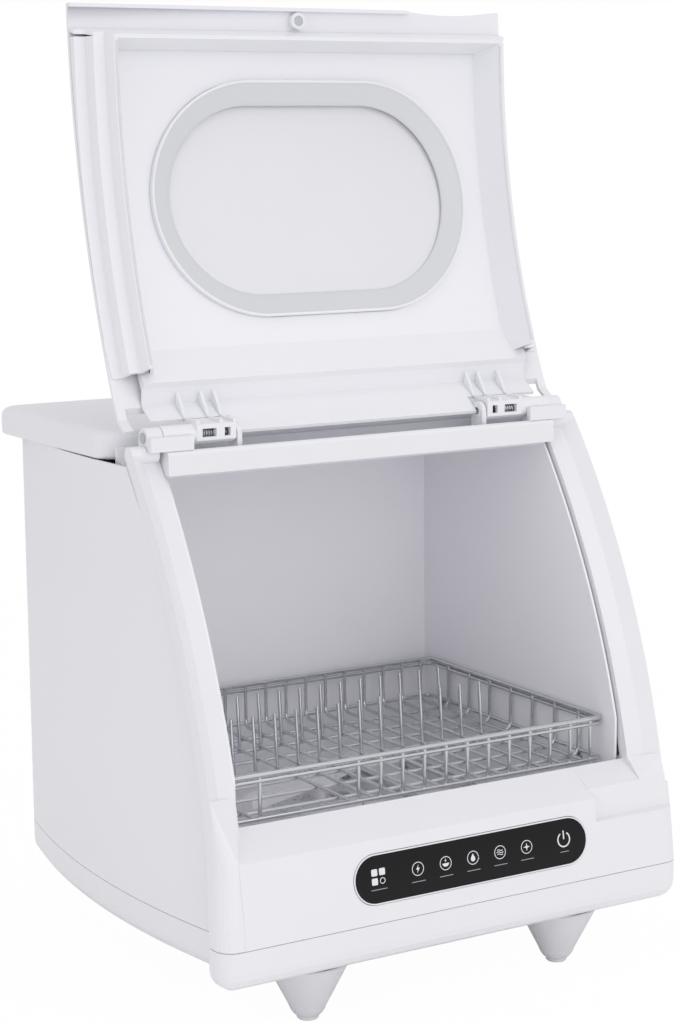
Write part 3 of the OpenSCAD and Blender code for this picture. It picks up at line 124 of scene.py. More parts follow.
@dataclass(frozen=True)
class MouldedPlastic:
    """Injection-moulded plastic: ABS, polypropylene or acrylic.

    The mould's polish leaves a fine texture that breaks up the highlight, and thick and thin
    places cool at different speeds, which gives broad, faint changes of gloss.
    """

    name: str
    base: str
    roughness: float = 0.34
    grain_mm: float = 0.9
    grain_height: float = 0.04
    shade_spread: float = 0.02
    ior: float = 1.53

    def build(self) -> bpy.types.Material:
        """Make the material.

        Returns:
            The new material.
        """
        material, tree, output = empty_material(self.name)
        place = add_node(tree, "ShaderNodeTexCoord")
        broad = add_node(
            tree,
            "ShaderNodeTexNoise",
            inputs={"Scale": 1 / (60 * MM), "Detail": 2.0, "Roughness": 0.5},
            links={"Vector": place.outputs["Object"]},
        )
        shade = add_node(
            tree,
            "ShaderNodeMapRange",
            inputs={"To Min": 1 - self.shade_spread, "To Max": 1.0},
            links={"Value": broad.outputs["Fac"]},
        )
        colour = add_node(
            tree,
            "ShaderNodeVectorMath",
            settings={"operation": "SCALE"},
            inputs={0: srgb(self.base)[:3]},
            links={"Scale": shade.outputs["Result"]},
        )
        gloss = add_node(
            tree,
            "ShaderNodeMapRange",
            inputs={"To Min": self.roughness * 0.88, "To Max": self.roughness * 1.12},
            links={"Value": broad.outputs["Fac"]},
        )
        grain = add_node(
            tree,
            "ShaderNodeTexNoise",
            inputs={"Scale": 1 / (self.grain_mm * MM), "Detail": 3.0, "Roughness": 0.6},
            links={"Vector": place.outputs["Object"]},
        )
        bump = add_node(
            tree,
            "ShaderNodeBump",
            inputs={"Strength": 0.25, "Distance": self.grain_height * MM},
            links={"Height": grain.outputs["Fac"]},
        )
        surface = add_node(
            tree,
            "ShaderNodeBsdfPrincipled",
            inputs={"IOR": self.ior},
            links={
                "Base Color": colour.outputs["Vector"],
                "Roughness": gloss.outputs["Result"],
                "Normal": bump.outputs["Normal"],
            },
        )
        tree.links.new(surface.outputs["BSDF"], output.inputs["Surface"])
        return material


@dataclass(frozen=True)
class MilkyPane:
    """Frosted polycarbonate: bright and cloudy, it lets some light through but no clear picture."""

    name: str
    base: str
    clearness: float = 0.25
    roughness: float = 0.22

    def build(self) -> bpy.types.Material:
        """Make the material.

        Returns:
            The new material.
        """
        material, tree, output = empty_material(self.name)
        place = add_node(tree, "ShaderNodeTexCoord")
        cloud = add_node(
            tree,
            "ShaderNodeTexNoise",
            inputs={"Scale": 1 / (45 * MM), "Detail": 2.0},
            links={"Vector": place.outputs["Object"]},
        )
        gloss = add_node(
            tree,
            "ShaderNodeMapRange",
            inputs={"To Min": self.roughness * 0.85, "To Max": self.roughness * 1.15},
            links={"Value": cloud.outputs["Fac"]},
        )
        surface = add_node(
            tree,
            "ShaderNodeBsdfPrincipled",
            inputs={
                "Base Color": srgb(self.base),
                "IOR": 1.585,
                "Transmission Weight": self.clearness,
            },
            links={"Roughness": gloss.outputs["Result"]},
        )
        tree.links.new(surface.outputs["BSDF"], output.inputs["Surface"])
        return material


@dataclass(frozen=True)
class DrawnSteel:
    """Stainless or plated steel with fine lines from drawing or turning."""

    name: str
    base: str
    roughness: float = 0.26
    line_mm: float = 0.8

    def build(self) -> bpy.types.Material:
        """Make the material.

        Returns:
            The new material.
        """
        material, tree, output = empty_material(self.name)
        place = add_node(tree, "ShaderNodeTexCoord")
        stretch = add_node(
            tree,
            "ShaderNodeMapping",
            inputs={"Scale": (0.08, 1.0, 1.0)},
            links={"Vector": place.outputs["Object"]},
        )
        lines = add_node(
            tree,
            "ShaderNodeTexNoise",
            inputs={"Scale": 1 / (self.line_mm * MM), "Detail": 3.0},
            links={"Vector": stretch.outputs["Vector"]},
        )
        gloss = add_node(
            tree,
            "ShaderNodeMapRange",
            inputs={"To Min": self.roughness * 0.75, "To Max": self.roughness * 1.3},
            links={"Value": lines.outputs["Fac"]},
        )
        bump = add_node(
            tree,
            "ShaderNodeBump",
            inputs={"Strength": 0.15, "Distance": 0.02 * MM},
            links={"Height": lines.outputs["Fac"]},
        )
        surface = add_node(
            tree,
            "ShaderNodeBsdfPrincipled",
            inputs={"Base Color": srgb(self.base), "Metallic": 1.0},
            links={"Roughness": gloss.outputs["Result"], "Normal": bump.outputs["Normal"]},
        )
        tree.links.new(surface.outputs["BSDF"], output.inputs["Surface"])
        return material


@dataclass(frozen=True)
class SoftRubber:
    """Silicone or EPDM rubber: matt, with a faint bloom on its surface."""

    name: str
    base: str
    bloom: str
    roughness: float = 0.7

    def build(self) -> bpy.types.Material:
        """Make the material.

        Returns:
            The new material.
        """
        material, tree, output = empty_material(self.name)
        place = add_node(tree, "ShaderNodeTexCoord")
        patch = add_node(
            tree,
            "ShaderNodeTexNoise",
            inputs={"Scale": 1 / (12 * MM), "Detail": 4.0, "Roughness": 0.6},
            links={"Vector": place.outputs["Object"]},
        )
        colour = add_node(
            tree,
            "ShaderNodeValToRGB",
            links={"Fac": patch.outputs["Fac"]},
        )
        colour.color_ramp.elements[0].position = 0.35
        colour.color_ramp.elements[0].color = srgb(self.base)
        colour.color_ramp.elements[1].position = 0.8
        colour.color_ramp.elements[1].color = srgb(self.bloom)
        skin = add_node(
            tree,
            "ShaderNodeTexNoise",
            inputs={"Scale": 1 / (0.8 * MM), "Detail": 2.0},
            links={"Vector": place.outputs["Object"]},
        )
        bump = add_node(
            tree,
            "ShaderNodeBump",
            inputs={"Strength": 0.3, "Distance": 0.03 * MM},
            links={"Height": skin.outputs["Fac"]},
        )
        surface = add_node(
            tree,
            "ShaderNodeBsdfPrincipled",
            inputs={"Roughness": self.roughness, "IOR": 1.45, "Sheen Weight": 0.1},
            links={"Base Color": colour.outputs["Color"], "Normal": bump.outputs["Normal"]},
        )
        tree.links.new(surface.outputs["BSDF"], output.inputs["Surface"])
        return material


class Finish(Enum):
    """The finishes of this machine, each named for its real material."""

    HOUSING = MouldedPlastic("moulded_white_abs", "#ececf1", 0.36)
    LID = MouldedPlastic("moulded_lid_abs", "#efeff4", 0.33)
    WINDOW_RING = MouldedPlastic("grey_ring_abs", "#d8dadd", 0.4)
    TUB = MouldedPlastic("grey_polypropylene", "#f7f6fb", 0.42, grain_mm=1.2)
    FEET = MouldedPlastic("moulded_feet_abs", "#dcdbe0", 0.42)
    TOUCH_PANEL = MouldedPlastic("black_acrylic", "#101013", 0.18, grain_height=0.004, ior=1.33)
    INK = MouldedPlastic("white_screen_ink", "#e9e9ec", 0.5, grain_height=0.01)
    GREY_INK = MouldedPlastic("grey_screen_ink", "#9b9ba1", 0.5, grain_height=0.01)
    DARK_PLASTIC = MouldedPlastic("black_polypropylene", "#2a2a2e", 0.4)
    GREY_PLASTIC = MouldedPlastic("grey_nylon", "#8d8e92", 0.45)
    BOARD = MouldedPlastic("solder_mask", "#1d5a3c", 0.35)
    WIRE = DrawnSteel("plated_wire", "#cfd1d4", 0.2, line_mm=0.6)
    PANE = MilkyPane("frosted_polycarbonate", "#f1f1f6")
    STEEL = DrawnSteel("drawn_stainless", "#c3c5c8")
    MOTOR = DrawnSteel("painted_motor_steel", "#7c7f84", 0.4)
    SILICONE = SoftRubber("white_silicone", "#dcdbdf", "#e4e3e7")
    EPDM = SoftRubber("black_epdm", "#1b1b1c", "#2c2c2e")


class FinishShelf:
    """Keeps one built material for each finish."""

    def __init__(self) -> None:
        """Start with nothing built."""
        self._built: Dict[Finish, bpy.types.Material] = {}

    def get(self, finish: Finish) -> bpy.types.Material:
        """Look up the material of a finish, built on first use.

        Args:
            finish: one of the machine's finishes.

        Returns:
            Its material.
        """
        if finish not in self._built:
            self._built[finish] = finish.value.build()
        return self._built[finish]


SHELF = FinishShelf()


def dress(name: str, finish: Finish) -> bpy.types.Object:
    """Give a CAD node its finish.

    Args:
        name: the node's name.
        finish: the finish for its whole surface.

    Returns:
        The node's object.
    """
    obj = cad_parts[name]
    if not obj.material_slots:
        obj.data.materials.append(SHELF.get(finish))
    for material_slot in obj.material_slots:
        material_slot.link = "OBJECT"
        material_slot.material = SHELF.get(finish)
    return obj


# ---------------------------------------------------------------- places on the machine

HINGE = Vector((0.0, -58 * MM, 435.5 * MM))
OPEN_DEG = 168.5
ARC_AXIS = Vector((0.0, 498 * MM, 10 * MM))
LINER_PANEL_R = 714.5 * MM
WINDOW_Z = 281 * MM
SHARP_DEG = 35


def lid_opened() -> Matrix:
    """Work out how the lid opens.

    Returns:
        The turn about the hinge from the closed to the open lid.
    """
    turn = Matrix.Rotation(math.radians(-OPEN_DEG), 4, "X")
    return Matrix.Translation(HINGE) @ turn @ Matrix.Translation(-HINGE)


def arc_frame(height: float, radius: float) -> Matrix:
    """Return the local frame on the front arc: X sideways, Y up along it, Z outwards.

    Args:
        height: height above the table at which the frame touches the arc, in metres.
        radius: radius of the arc there.

    Returns:
        The frame, with its origin on the axis of the arc.
    """
    angle = math.asin((height - ARC_AXIS.z) / radius)
    return Matrix.Translation(ARC_AXIS) @ Matrix.Rotation(math.pi / 2 - angle, 4, "X")


def add_piece(
    name: str, bm: bmesh.types.BMesh, finish: Finish, body: str, smooth: bool = True
) -> bpy.types.Object:
    """Turn a finished bmesh into a piece that rides on a body.

    Args:
        name: the piece's name.
        bm: its mesh, already in place; it is freed here.
        finish: the finish of its whole surface.
        body: the body that it rides on.
        smooth: whether its faces are shaded smooth, with sharp edges above SHARP_DEG.

    Returns:
        The new object.
    """
    mesh = bpy.data.meshes.new(name)
    for face in bm.faces:
        face.smooth = smooth
    for edge in bm.edges:
        edge.smooth = len(edge.link_faces) == 2 and edge.calc_face_angle(0.0) < math.radians(SHARP_DEG)
    bm.to_mesh(mesh)
    bm.free()
    mesh.materials.append(SHELF.get(finish))
    obj = bpy.data.objects.new(name, mesh)
    bpy.context.scene.collection.objects.link(obj)
    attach(obj, body)
    LOG.info("%s: %d faces", name, len(mesh.polygons))
    return obj


# ---------------------------------------------------------------- sub-assemblies

CAD_FINISHES: Dict[Finish, Sequence[str]] = {
    Finish.HOUSING: (
        "base_pan", "side_panel_left", "side_panel_right", "rear_cover", "top_deck", "front_frame",
        "panel_bezel", "header_bar", "hinge_block_left", "hinge_block_right", "fill_valve",
        "inlet_connector", "float_guide",
    ),
    Finish.LID: ("lid_shell", "lid_liner", "hinge_lug_left", "hinge_lug_right", "magnet_ring"),
    Finish.WINDOW_RING: ("window_frame",),
    Finish.FEET: ("feet",),
    Finish.TUB: (
        "wash_tub", "sump", "sump_cover", "spray_spindle", "spray_nut", "spray_arm", "filter_cup",
        "wash_impeller", "water_tank",
    ),
    Finish.TOUCH_PANEL: ("touch_panel",),
    Finish.DARK_PLASTIC: ("lid_switch", "float_cap"),
    Finish.GREY_PLASTIC: ("wash_pump", "drain_pump", "drain_connector"),
    Finish.BOARD: ("control_board", "power_board"),
    Finish.WIRE: ("basket",),
    Finish.PANE: ("window_pane",),
    Finish.STEEL: (
        "hinge_pin_left", "hinge_pin_right", "hinge_springs", "heater", "lid_magnet",
        "rear_screws", "base_screws", "hinge_screws",
    ),
    Finish.MOTOR: ("wash_motor",),
    Finish.SILICONE: ("foot_pads", "lid_seal", "basket_caps"),
    Finish.EPDM: ("tub_gasket", "wash_hoses", "drain_hose", "cord_gland"),
}


class CarriedOver:
    """The CAD nodes that keep their own shape and get a finish."""

    def build(self) -> None:
        """Dress every node that is listed."""
        for finish, names in CAD_FINISHES.items():
            for name in names:
                dress(name, finish)
            LOG.info("dressed %d nodes in %s", len(names), finish.name.lower())


@dataclass
class WindowRing:
    """Bevelled ring around the lid's window: a white bead and a grey band that slopes to the pane."""

    half_w: float = 145 * MM
    half_h: float = 94 * MM
    bead_w: float = 2.6 * MM
    band_w: float = 19 * MM
    bead_up: float = 4.5 * MM
    segments: int = 120

    def _loop(self, bm: bmesh.types.BMesh, inset: float, rise: float) -> List[bmesh.types.BMEdge]:
        """Add one round-ended loop of the ring.

        Args:
            bm: the mesh to add to.
            inset: distance inside the ring's outline.
            rise: height above the liner's panel, towards the dishes.

        Returns:
            The edges of the loop.
        """
        made = bmesh.ops.create_circle(
            bm, cap_ends=False, segments=self.segments, radius=self.half_h - inset
        )
        radius = LINER_PANEL_R - rise
        for vert in made["verts"]:
            if abs(vert.co.x) > 1e-6:
                vert.co.x += math.copysign(self.half_w - self.half_h, vert.co.x)
            vert.co.z = math.sqrt(radius * radius - vert.co.y * vert.co.y)
        return list({edge for vert in made["verts"] for edge in vert.link_edges})

    def _strip(self, profile: Sequence[Tuple[float, float]]) -> bmesh.types.BMesh:
        """Bridge loops along a closed profile into a ring-shaped skin.

        Args:
            profile: (inset, rise) pairs around the section.

        Returns:
            The ring, in its place on the open lid.
        """
        bm = bmesh.new()
        loops = [self._loop(bm, inset, rise) for inset, rise in profile]
        for first, second in list(zip(loops, loops[1:])) + [(loops[-1], loops[0])]:
            bmesh.ops.bridge_loops(bm, edges=first + second)
        bmesh.ops.recalc_face_normals(bm, faces=bm.faces)
        place = lid_opened() @ arc_frame(WINDOW_Z, LINER_PANEL_R)
        bmesh.ops.transform(bm, matrix=place, verts=bm.verts)
        return bm

    def build(self) -> None:
        """Add the bead and the band, which stand for the plain ring."""
        bead, up, band = self.bead_w, self.bead_up, self.band_w
        back = -3.2 * MM
        bead_profile = (
            (0.0, back), (0.0, up - 1.0 * MM), (0.35 * MM, up - 0.3 * MM), (1.1 * MM, up),
            (bead - 0.7 * MM, up - 0.1 * MM), (bead - 0.15 * MM, up - 0.8 * MM),
            (bead, up - 2.0 * MM), (bead, back),
        )
        band_profile = (
            (bead - 0.3 * MM, 2.4 * MM), (bead + 1.2 * MM, 2.2 * MM), (bead + 3.0 * MM, 1.6 * MM),
            (band - 3.2 * MM, -2.6 * MM), (band - 1.2 * MM, -3.3 * MM), (band - 0.5 * MM, -3.9 * MM),
            (band - 0.3 * MM, -5.0 * MM), (bead - 0.3 * MM, -5.0 * MM),
        )
        rim = add_piece("window_bead", self._strip(bead_profile), Finish.LID, "lid")
        slope = add_piece(
            "window_band", self._strip(band_profile), Finish.WINDOW_RING, "lid"
        )
        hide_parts("window_frame")
        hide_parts("window_frame")


@dataclass
class PanelMarks:
    """Plain pictograms printed on the touch panel: one for each wash, a menu mark and power."""

    centre_x: float = 10 * MM
    centre_z: float = 112 * MM
    face_r: float = 708.2 * MM
    ink: float = 0.06 * MM
    sunk: float = 0.15 * MM
    row: float = 1.8 * MM
    ring_r: float = 5.0 * MM
    line: float = 0.55 * MM
    washes: Tuple[float, ...] = (-50.7 * MM, -25.7 * MM, -0.8 * MM, 24.3 * MM, 49.3 * MM)
    menu_x: float = -85.6 * MM
    power_x: float = 84.8 * MM
    bar_drop: float = 9.6 * MM

    def _plate(self, bm: bmesh.types.BMesh, points: Sequence[Tuple[float, float]]) -> None:
        """Add one flat printed shape from its outline, given in millimetres."""
        verts = [bm.verts.new((x * MM, y * MM, 0.0)) for x, y in points]
        bm.faces.new(verts)

    def _dot(self, bm: bmesh.types.BMesh, x: float, y: float, radius: float) -> None:
        """Add one round printed dot, its place in metres."""
        bmesh.ops.create_circle(
            bm, cap_ends=True, segments=20, radius=radius, matrix=Matrix.Translation((x, y, 0.0))
        )

    def _hoop(
        self, bm: bmesh.types.BMesh, radius: float, line: float,
        start: float = 0.0, turn: float = 360.0,
    ) -> None:
        """Spin a short line into a printed hoop, or into a part of one.

        Args:
            bm: the mesh to add to.
            radius: middle radius of the line.
            line: width of the line.
            start: angle at which it starts, in degrees.
            turn: angle that it covers, in degrees.
        """
        aim = Vector((math.cos(math.radians(start)), math.sin(math.radians(start)), 0.0))
        ends = [bm.verts.new(aim * (radius + side * line / 2)) for side in (-1, 1)]
        edge = bm.edges.new(ends)
        bmesh.ops.spin(
            bm, geom=ends + [edge], cent=(0, 0, 0), axis=(0, 0, 1), angle=math.radians(turn),
            steps=max(8, round(turn / 9)), use_merge=turn >= 360.0, use_duplicate=False,
        )

    def _shift(self, bm: bmesh.types.BMesh, before: int, x: float, y: float) -> None:
        """Move what was added since the mesh had a number of vertices."""
        bm.verts.ensure_lookup_table()
        bmesh.ops.translate(bm, vec=Vector((x, y, 0.0)), verts=bm.verts[before:])

    def _wave(self, bm: bmesh.types.BMesh, y: float, half: float) -> None:
        """Add one wavy line across the middle of a hoop, in millimetres."""
        steps = 12
        upper = [
            (half * (2 * i / steps - 1), y + 0.5 * math.sin(2 * math.pi * i / steps) + 0.28)
            for i in range(steps + 1)
        ]
        lower = [(x, top - 0.56) for x, top in reversed(upper)]
        self._plate(bm, upper + lower)

    def _wash_signs(self, bm: bmesh.types.BMesh) -> None:
        """Add the five washes: a bolt, a bowl, a drop, waves and a four-pointed star."""
        bolt = ((0.7, 3.2), (-1.6, -0.5), (-0.2, -0.5), (-0.8, -3.2), (1.6, 0.7), (0.2, 0.7))
        bowl = [(-3.0, 0.0)] + [
            (3.0 * math.cos(math.radians(a)), 2.6 * math.sin(math.radians(a)))
            for a in range(200, 341, 20)
        ] + [(3.0, 0.0)]
        drop = [(0.0, 3.3)] + [
            (2.0 * math.cos(math.radians(a)), -0.8 + 2.0 * math.sin(math.radians(a)))
            for a in range(150, 391, 20)
        ]
        star = [
            ((3.2 if a % 90 == 0 else 0.9) * math.cos(math.radians(a)),
             (3.2 if a % 90 == 0 else 0.9) * math.sin(math.radians(a)))
            for a in range(0, 360, 45)
        ]
        for place, shapes in zip(self.washes, ([bolt], [bowl], [drop], [], [star])):
            before = len(bm.verts)
            self._hoop(bm, self.ring_r, self.line)
            for shape in shapes:
                self._plate(bm, shape)
            if not shapes:
                for y in (-1.6, 0.0, 1.6):
                    self._wave(bm, y, 3.2 if y == 0.0 else 2.6)
            if shapes == [bowl]:
                self._dot(bm, 0.0, 2.0 * MM, 0.7 * MM)
            self._shift(bm, before, place, self.row)

    def _menu_sign(self, bm: bmesh.types.BMesh) -> None:
        """Add three soft squares and a small hoop."""
        side, step = 5.2, 3.4
        for x, y in ((-step, step), (step, step), (-step, -step)):
            before = len(bm.verts)
            corner = 0.8
            half = side / 2
            outline = []
            for turn in range(4):
                mid = math.radians(45 + 90 * turn)
                cx = math.copysign(half - corner, math.cos(mid))
                cy = math.copysign(half - corner, math.sin(mid))
                for a in (-45, 0, 45):
                    outline.append((cx + corner * math.cos(mid + math.radians(a)),
                                    cy + corner * math.sin(mid + math.radians(a))))
            self._plate(bm, outline)
            self._shift(bm, before, self.menu_x + x * MM, self.row + y * MM)
        before = len(bm.verts)
        self._hoop(bm, 2.1 * MM, self.line)
        self._shift(bm, before, self.menu_x + step * MM, self.row - step * MM)

    def _power_sign(self, bm: bmesh.types.BMesh) -> None:
        """Add the open hoop and the stroke of a power mark."""
        before = len(bm.verts)
        self._hoop(bm, 5.6 * MM, 1.1 * MM, start=122, turn=296)
        self._plate(bm, ((-0.55, 0.2), (0.55, 0.2), (0.55, 7.0), (-0.55, 7.0)))
        self._shift(bm, before, self.power_x, self.row)

    def _bars(self, bm: bmesh.types.BMesh) -> None:
        """Add the thin bar under each mark."""
        ends = ((self.menu_x, 7.0), (self.power_x, 4.0))
        for place, half in ends + tuple((wash, 6.0) for wash in self.washes):
            before = len(bm.verts)
            self._plate(bm, ((-half, -0.3), (half, -0.3), (half, 0.3), (-half, 0.3)))
            self._shift(bm, before, place, self.row - self.bar_drop)

    def _lay(self, bm: bmesh.types.BMesh) -> None:
        """Give the flat marks their thickness and bend them onto the panel's curve."""
        bmesh.ops.recalc_face_normals(bm, faces=bm.faces)
        flat = list(bm.faces)
        made = bmesh.ops.extrude_face_region(bm, geom=flat, use_keep_orig=True)["geom"]
        top = [g for g in made if isinstance(g, bmesh.types.BMVert)]
        bmesh.ops.translate(bm, vec=Vector((0, 0, self.ink + self.sunk)), verts=top)
        bmesh.ops.recalc_face_normals(bm, faces=bm.faces)
        middle = math.asin((self.centre_z - ARC_AXIS.z) / (self.face_r - 0.2 * MM))
        for vert in bm.verts:
            radius = self.face_r - self.sunk + vert.co.z
            angle = middle + vert.co.y / self.face_r
            vert.co = ARC_AXIS + Vector(
                (self.centre_x + vert.co.x, -radius * math.cos(angle), radius * math.sin(angle))
            )

    def build(self) -> None:
        """Add the white signs and the grey bars."""
        signs = bmesh.new()
        self._wash_signs(signs)
        self._menu_sign(signs)
        self._power_sign(signs)
        self._lay(signs)
        add_piece("panel_signs", signs, Finish.INK, "housing", smooth=False)
        bars = bmesh.new()
        self._bars(bars)
        self._lay(bars)
        add_piece("panel_bars", bars, Finish.GREY_INK, "housing", smooth=False)


class BentWire:
    """One round wire, drawn forward and bent in the vertical plane of its run."""

    def __init__(self, bm: bmesh.types.BMesh, start: Vector, ahead: Vector, width: float) -> None:
        """Start a wire.

        Args:
            bm: the mesh that the wire is added to.
            start: centre of its first end, in metres.
            ahead: direction of its first run.
            width: diameter of the wire.
        """
        self.bm = bm
        self.at = start.copy()
        self.ahead = ahead.normalized()
        turn = self.ahead.to_track_quat("Z", "Y").to_matrix().to_4x4()
        made = bmesh.ops.create_circle(
            bm, cap_ends=True, segments=10, radius=width / 2, matrix=Matrix.Translation(start) @ turn
        )
        verts = set(made["verts"])
        self.front = [e for e in bm.edges if set(e.verts) <= verts]

    def run(self, length: float) -> "BentWire":
        """Draw the wire straight ahead."""
        made = bmesh.ops.extrude_edge_only(self.bm, edges=self.front)["geom"]
        verts = [g for g in made if isinstance(g, bmesh.types.BMVert)]
        bmesh.ops.translate(self.bm, vec=self.ahead * length, verts=verts)
        self.front = [
            g for g in made if isinstance(g, bmesh.types.BMEdge) and set(g.verts) <= set(verts)
        ]
        self.at += self.ahead * length
        return self

    def bend(self, towards: Vector, radius: float, steps: int = 5) -> "BentWire":
        """Bend the wire by a right angle."""
        side = towards.normalized()
        axis = self.ahead.cross(side)
        centre = self.at + side * radius
        made = bmesh.ops.spin(
            self.bm, geom=self.front, cent=centre, axis=axis, angle=math.pi / 2, steps=steps,
            use_merge=False, use_duplicate=False,
        )["geom_last"]
        self.front = [g for g in made if isinstance(g, bmesh.types.BMEdge)]
        self.at = centre + self.ahead * radius
        self.ahead = side
        return self

    def cap(self) -> None:
        """Close the wire's far end."""
        bmesh.ops.edgeloop_fill(self.bm, edges=self.front)


@dataclass
class WireBasket:
    """Plated wire basket: round rails, U-shaped wires with real bends, and rows of tines."""

    half_w: float = 171 * MM
    front: float = -150 * MM
    back: float = 104 * MM
    floor_z: float = 152.3 * MM
    rail_z: float = 190.3 * MM
    pitch: float = 20 * MM
    wire: float = 3.0 * MM
    rail: float = 4.0 * MM
    rail_drop: float = 4.6 * MM
    bend_r: float = 7 * MM
    corner_r: float = 6 * MM
    tine_h: float = 46 * MM
    lone_x: float = -146 * MM
    open_to: float = -70 * MM
    across: Tuple[float, ...] = (0.12, 0.25, 0.375, 0.5, 0.625, 0.75, 0.88)
    tine_rows: Tuple[float, ...] = (0.5, 0.75)
    tine_lean: float = 0.086
    last_wire: int = 8

    def _rail(self, bm: bmesh.types.BMesh, height: float, width: float) -> None:
        """Add one closed rail with round corners at a height."""
        corner = self.corner_r
        start = Vector((-self.half_w + corner, self.front, height))
        wire = BentWire(bm, start, Vector((1, 0, 0)), width)
        run_x = 2 * (self.half_w - corner)
        run_y = self.back - self.front - 2 * corner
        for length, side in (
            (run_x, (0, 1, 0)), (run_y, (-1, 0, 0)), (run_x, (0, -1, 0)), (run_y, (1, 0, 0)),
        ):
            wire.run(length).bend(Vector(side), corner)
        wire.cap()

    def _wires_along(self, bm: bmesh.types.BMesh) -> None:
        """Add the U-shaped wires that run from the front to the back, with a gap for a wide bowl."""
        bend = self.bend_r
        floor = self.floor_z + 1 * MM
        drop = self.rail_z - floor - bend
        steps = range(-self.last_wire, self.last_wire + 1)
        places = [step * self.pitch for step in steps if step * self.pitch > self.open_to]
        for x in [self.lone_x] + places:
            wire = BentWire(
                bm, Vector((x, self.front + 0.6 * MM, self.rail_z)), Vector((0, 0, -1)), self.wire
            )
            wire.run(drop).bend(Vector((0, 1, 0)), bend)
            wire.run(self.back - self.front - 1.2 * MM - 2 * bend).bend(Vector((0, 0, 1)), bend)
            wire.run(drop).cap()

    def _wires_across(self, bm: bmesh.types.BMesh) -> None:
        """Add the U-shaped wires that run from side to side."""
        bend = self.bend_r
        floor = self.floor_z - 1 * MM
        drop = self.rail_z - floor - bend
        for share in self.across:
            y = self.front + (self.back - self.front) * share
            wire = BentWire(
                bm, Vector((-self.half_w + 0.6 * MM, y, self.rail_z)), Vector((0, 0, -1)), self.wire
            )
            wire.run(drop).bend(Vector((1, 0, 0)), bend)
            wire.run(2 * self.half_w - 1.2 * MM - 2 * bend).bend(Vector((0, 0, 1)), bend)
            wire.run(drop).cap()

    def _tines(self, bm: bmesh.types.BMesh) -> None:
        """Add the two rows of plate tines, each with a round tip."""
        for share in self.tine_rows:
            y = self.front + (self.back - self.front) * share
            for step in range(1 - self.last_wire, self.last_wire):
                start = Vector((step * self.pitch, y, self.floor_z))
                wire = BentWire(bm, start, Vector((0, self.tine_lean, 1)), self.wire)
                wire.run(self.tine_h - 1.5 * MM).cap()
                bmesh.ops.create_uvsphere(
                    bm, u_segments=10, v_segments=6, radius=self.wire / 2,
                    matrix=Matrix.Translation(wire.at),
                )

    def build(self) -> None:
        """Add the basket, which stands for the straight-wired one."""
        bm = bmesh.new()
        self._rail(bm, self.rail_z, self.rail)
        self._rail(bm, self.rail_z - self.rail_drop, self.wire)
        self._rail(bm, self.floor_z + 4 * MM, self.rail - 0.6 * MM)
        self._wires_along(bm)
        self._wires_across(bm)
        self._tines(bm)
        bmesh.ops.recalc_face_normals(bm, faces=bm.faces)
        basket = add_piece("basket_wires", bm, Finish.WIRE, "basket")
        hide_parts("basket")


# ---------------------------------------------------------------- studio


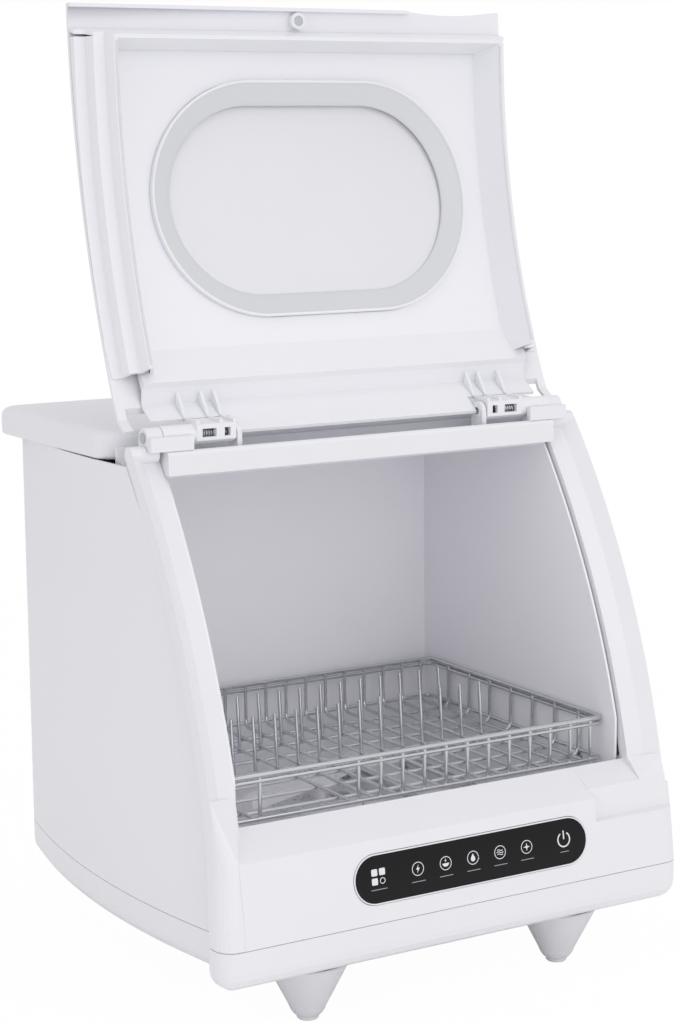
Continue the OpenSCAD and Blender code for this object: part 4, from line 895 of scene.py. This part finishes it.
@dataclass
class Studio:
    """White sweep, soft lamps and the camera in front."""

    camera_at: Point = (-0.940371, -1.598075, 0.658081)
    turn_deg: float = -30.857
    drop_deg: float = 9.302
    roll_deg: float = -0.502
    focal_px: float = 2296.958
    picture_px: Tuple[int, int] = (679, 1023)
    floor_radius: float = 1.6
    floor_white: float = 0.975
    room_light: float = 0.76
    lamp_aim: Point = (0.0, 0.0, 0.3)
    lamps: List[Tuple[str, Point, float, float]] = field(
        default_factory=lambda: [
            ("key", (1.3, -2.8, 2.2), 1.8, 9.0),
            ("fill", (-2.8, -1.2, 1.2), 2.0, 5.0),
            ("top", (0.2, -0.2, 3.2), 2.2, 7.0),
            ("front", (-0.3, -2.9, 0.7), 2.2, 9.0),
        ]
    )

    def build(self) -> None:
        """Place the camera, world, lamps and floor."""
        self._camera()
        self._world()
        self._lamps()
        self._floor()
        LOG.info("studio ready")

    def _camera(self) -> None:
        """Add the camera at its measured place and make it the scene's."""
        turn, drop, roll = (math.radians(v) for v in (self.turn_deg, self.drop_deg, self.roll_deg))
        ahead = Vector(
            (-math.sin(turn) * math.cos(drop), math.cos(turn) * math.cos(drop), -math.sin(drop))
        )
        right = Vector((math.cos(turn), math.sin(turn), 0.0))
        up = right.cross(ahead)
        rolled_right = math.cos(roll) * right + math.sin(roll) * up
        rolled_up = -math.sin(roll) * right + math.cos(roll) * up
        axes = Matrix((rolled_right, rolled_up, -ahead)).transposed()
        data = bpy.data.cameras.new("front_camera")
        data.sensor_fit = "VERTICAL"
        data.sensor_height = 36.0
        data.lens = self.focal_px / self.picture_px[1] * data.sensor_height
        data.clip_end = 50.0
        camera = bpy.data.objects.new("front_camera", data)
        camera.matrix_world = Matrix.Translation(self.camera_at) @ axes.to_4x4()
        bpy.context.scene.collection.objects.link(camera)
        bpy.context.scene.camera = camera

    def _world(self) -> None:
        """Light from all sides, seen as plain white by the camera and in reflections."""
        world = bpy.data.worlds.new("white_room")
        world.use_nodes = True
        tree = world.node_tree
        tree.nodes.clear()
        output = add_node(tree, "ShaderNodeOutputWorld")
        ray = add_node(tree, "ShaderNodeLightPath")
        seen = add_node(
            tree,
            "ShaderNodeMath",
            settings={"operation": "MAXIMUM"},
            links={0: ray.outputs["Is Camera Ray"], 1: ray.outputs["Is Transmission Ray"]},
        )
        room = add_node(
            tree,
            "ShaderNodeBackground",
            inputs={"Color": srgb("#ffffff"), "Strength": self.room_light},
        )
        white = add_node(
            tree, "ShaderNodeBackground", inputs={"Color": srgb("#ffffff"), "Strength": 1.0}
        )
        mix = add_node(
            tree,
            "ShaderNodeMixShader",
            links={
                "Fac": seen.outputs["Value"],
                1: room.outputs["Background"],
                2: white.outputs["Background"],
            },
        )
        tree.links.new(mix.outputs["Shader"], output.inputs["Surface"])
        bpy.context.scene.world = world

    def _lamps(self) -> None:
        """Add the soft lamps, each turned to the middle of the machine."""
        for name, place, width, power in self.lamps:
            data = bpy.data.lights.new(name, "AREA")
            data.shape = "DISK"
            data.size = width
            data.energy = power
            lamp = bpy.data.objects.new(name, data)
            aim = Vector(self.lamp_aim) - Vector(place)
            turn = aim.to_track_quat("-Z", "Y").to_matrix().to_4x4()
            lamp.matrix_world = Matrix.Translation(place) @ turn
            bpy.context.scene.collection.objects.link(lamp)

    def _floor(self) -> None:
        """Add the floor: white to the camera, with a faint shadow, and white paper to the light."""
        mesh = bpy.data.meshes.new("floor")
        bm = bmesh.new()
        bmesh.ops.create_circle(bm, cap_ends=True, segments=64, radius=self.floor_radius)
        bm.to_mesh(mesh)
        bm.free()
        floor = bpy.data.objects.new("floor", mesh)
        bpy.context.scene.collection.objects.link(floor)
        material, tree, output = empty_material("white_sweep")
        ray = add_node(tree, "ShaderNodeLightPath")
        paper = add_node(tree, "ShaderNodeBsdfDiffuse", inputs={"Color": srgb("#ffffff")})
        white = add_node(
            tree, "ShaderNodeEmission", inputs={"Color": srgb("#ffffff"), "Strength": 1.0}
        )
        share = add_node(
            tree,
            "ShaderNodeMath",
            settings={"operation": "MULTIPLY"},
            inputs={1: self.floor_white},
            links={0: ray.outputs["Is Camera Ray"]},
        )
        mix = add_node(
            tree,
            "ShaderNodeMixShader",
            links={
                "Fac": share.outputs["Value"],
                1: paper.outputs["BSDF"],
                2: white.outputs["Emission"],
            },
        )
        tree.links.new(mix.outputs["Shader"], output.inputs["Surface"])
        mesh.materials.append(material)


def main() -> None:
    """Build the machine's looks and the studio."""
    logging.basicConfig(level=logging.INFO, format="%(name)s: %(message)s")
    scene = bpy.context.scene
    scene.view_settings.view_transform = "Standard"
    CarriedOver().build()
    WindowRing().build()
    WireBasket().build()
    PanelMarks().build()
    Studio().build()


if __name__ == "__main__":
    main()
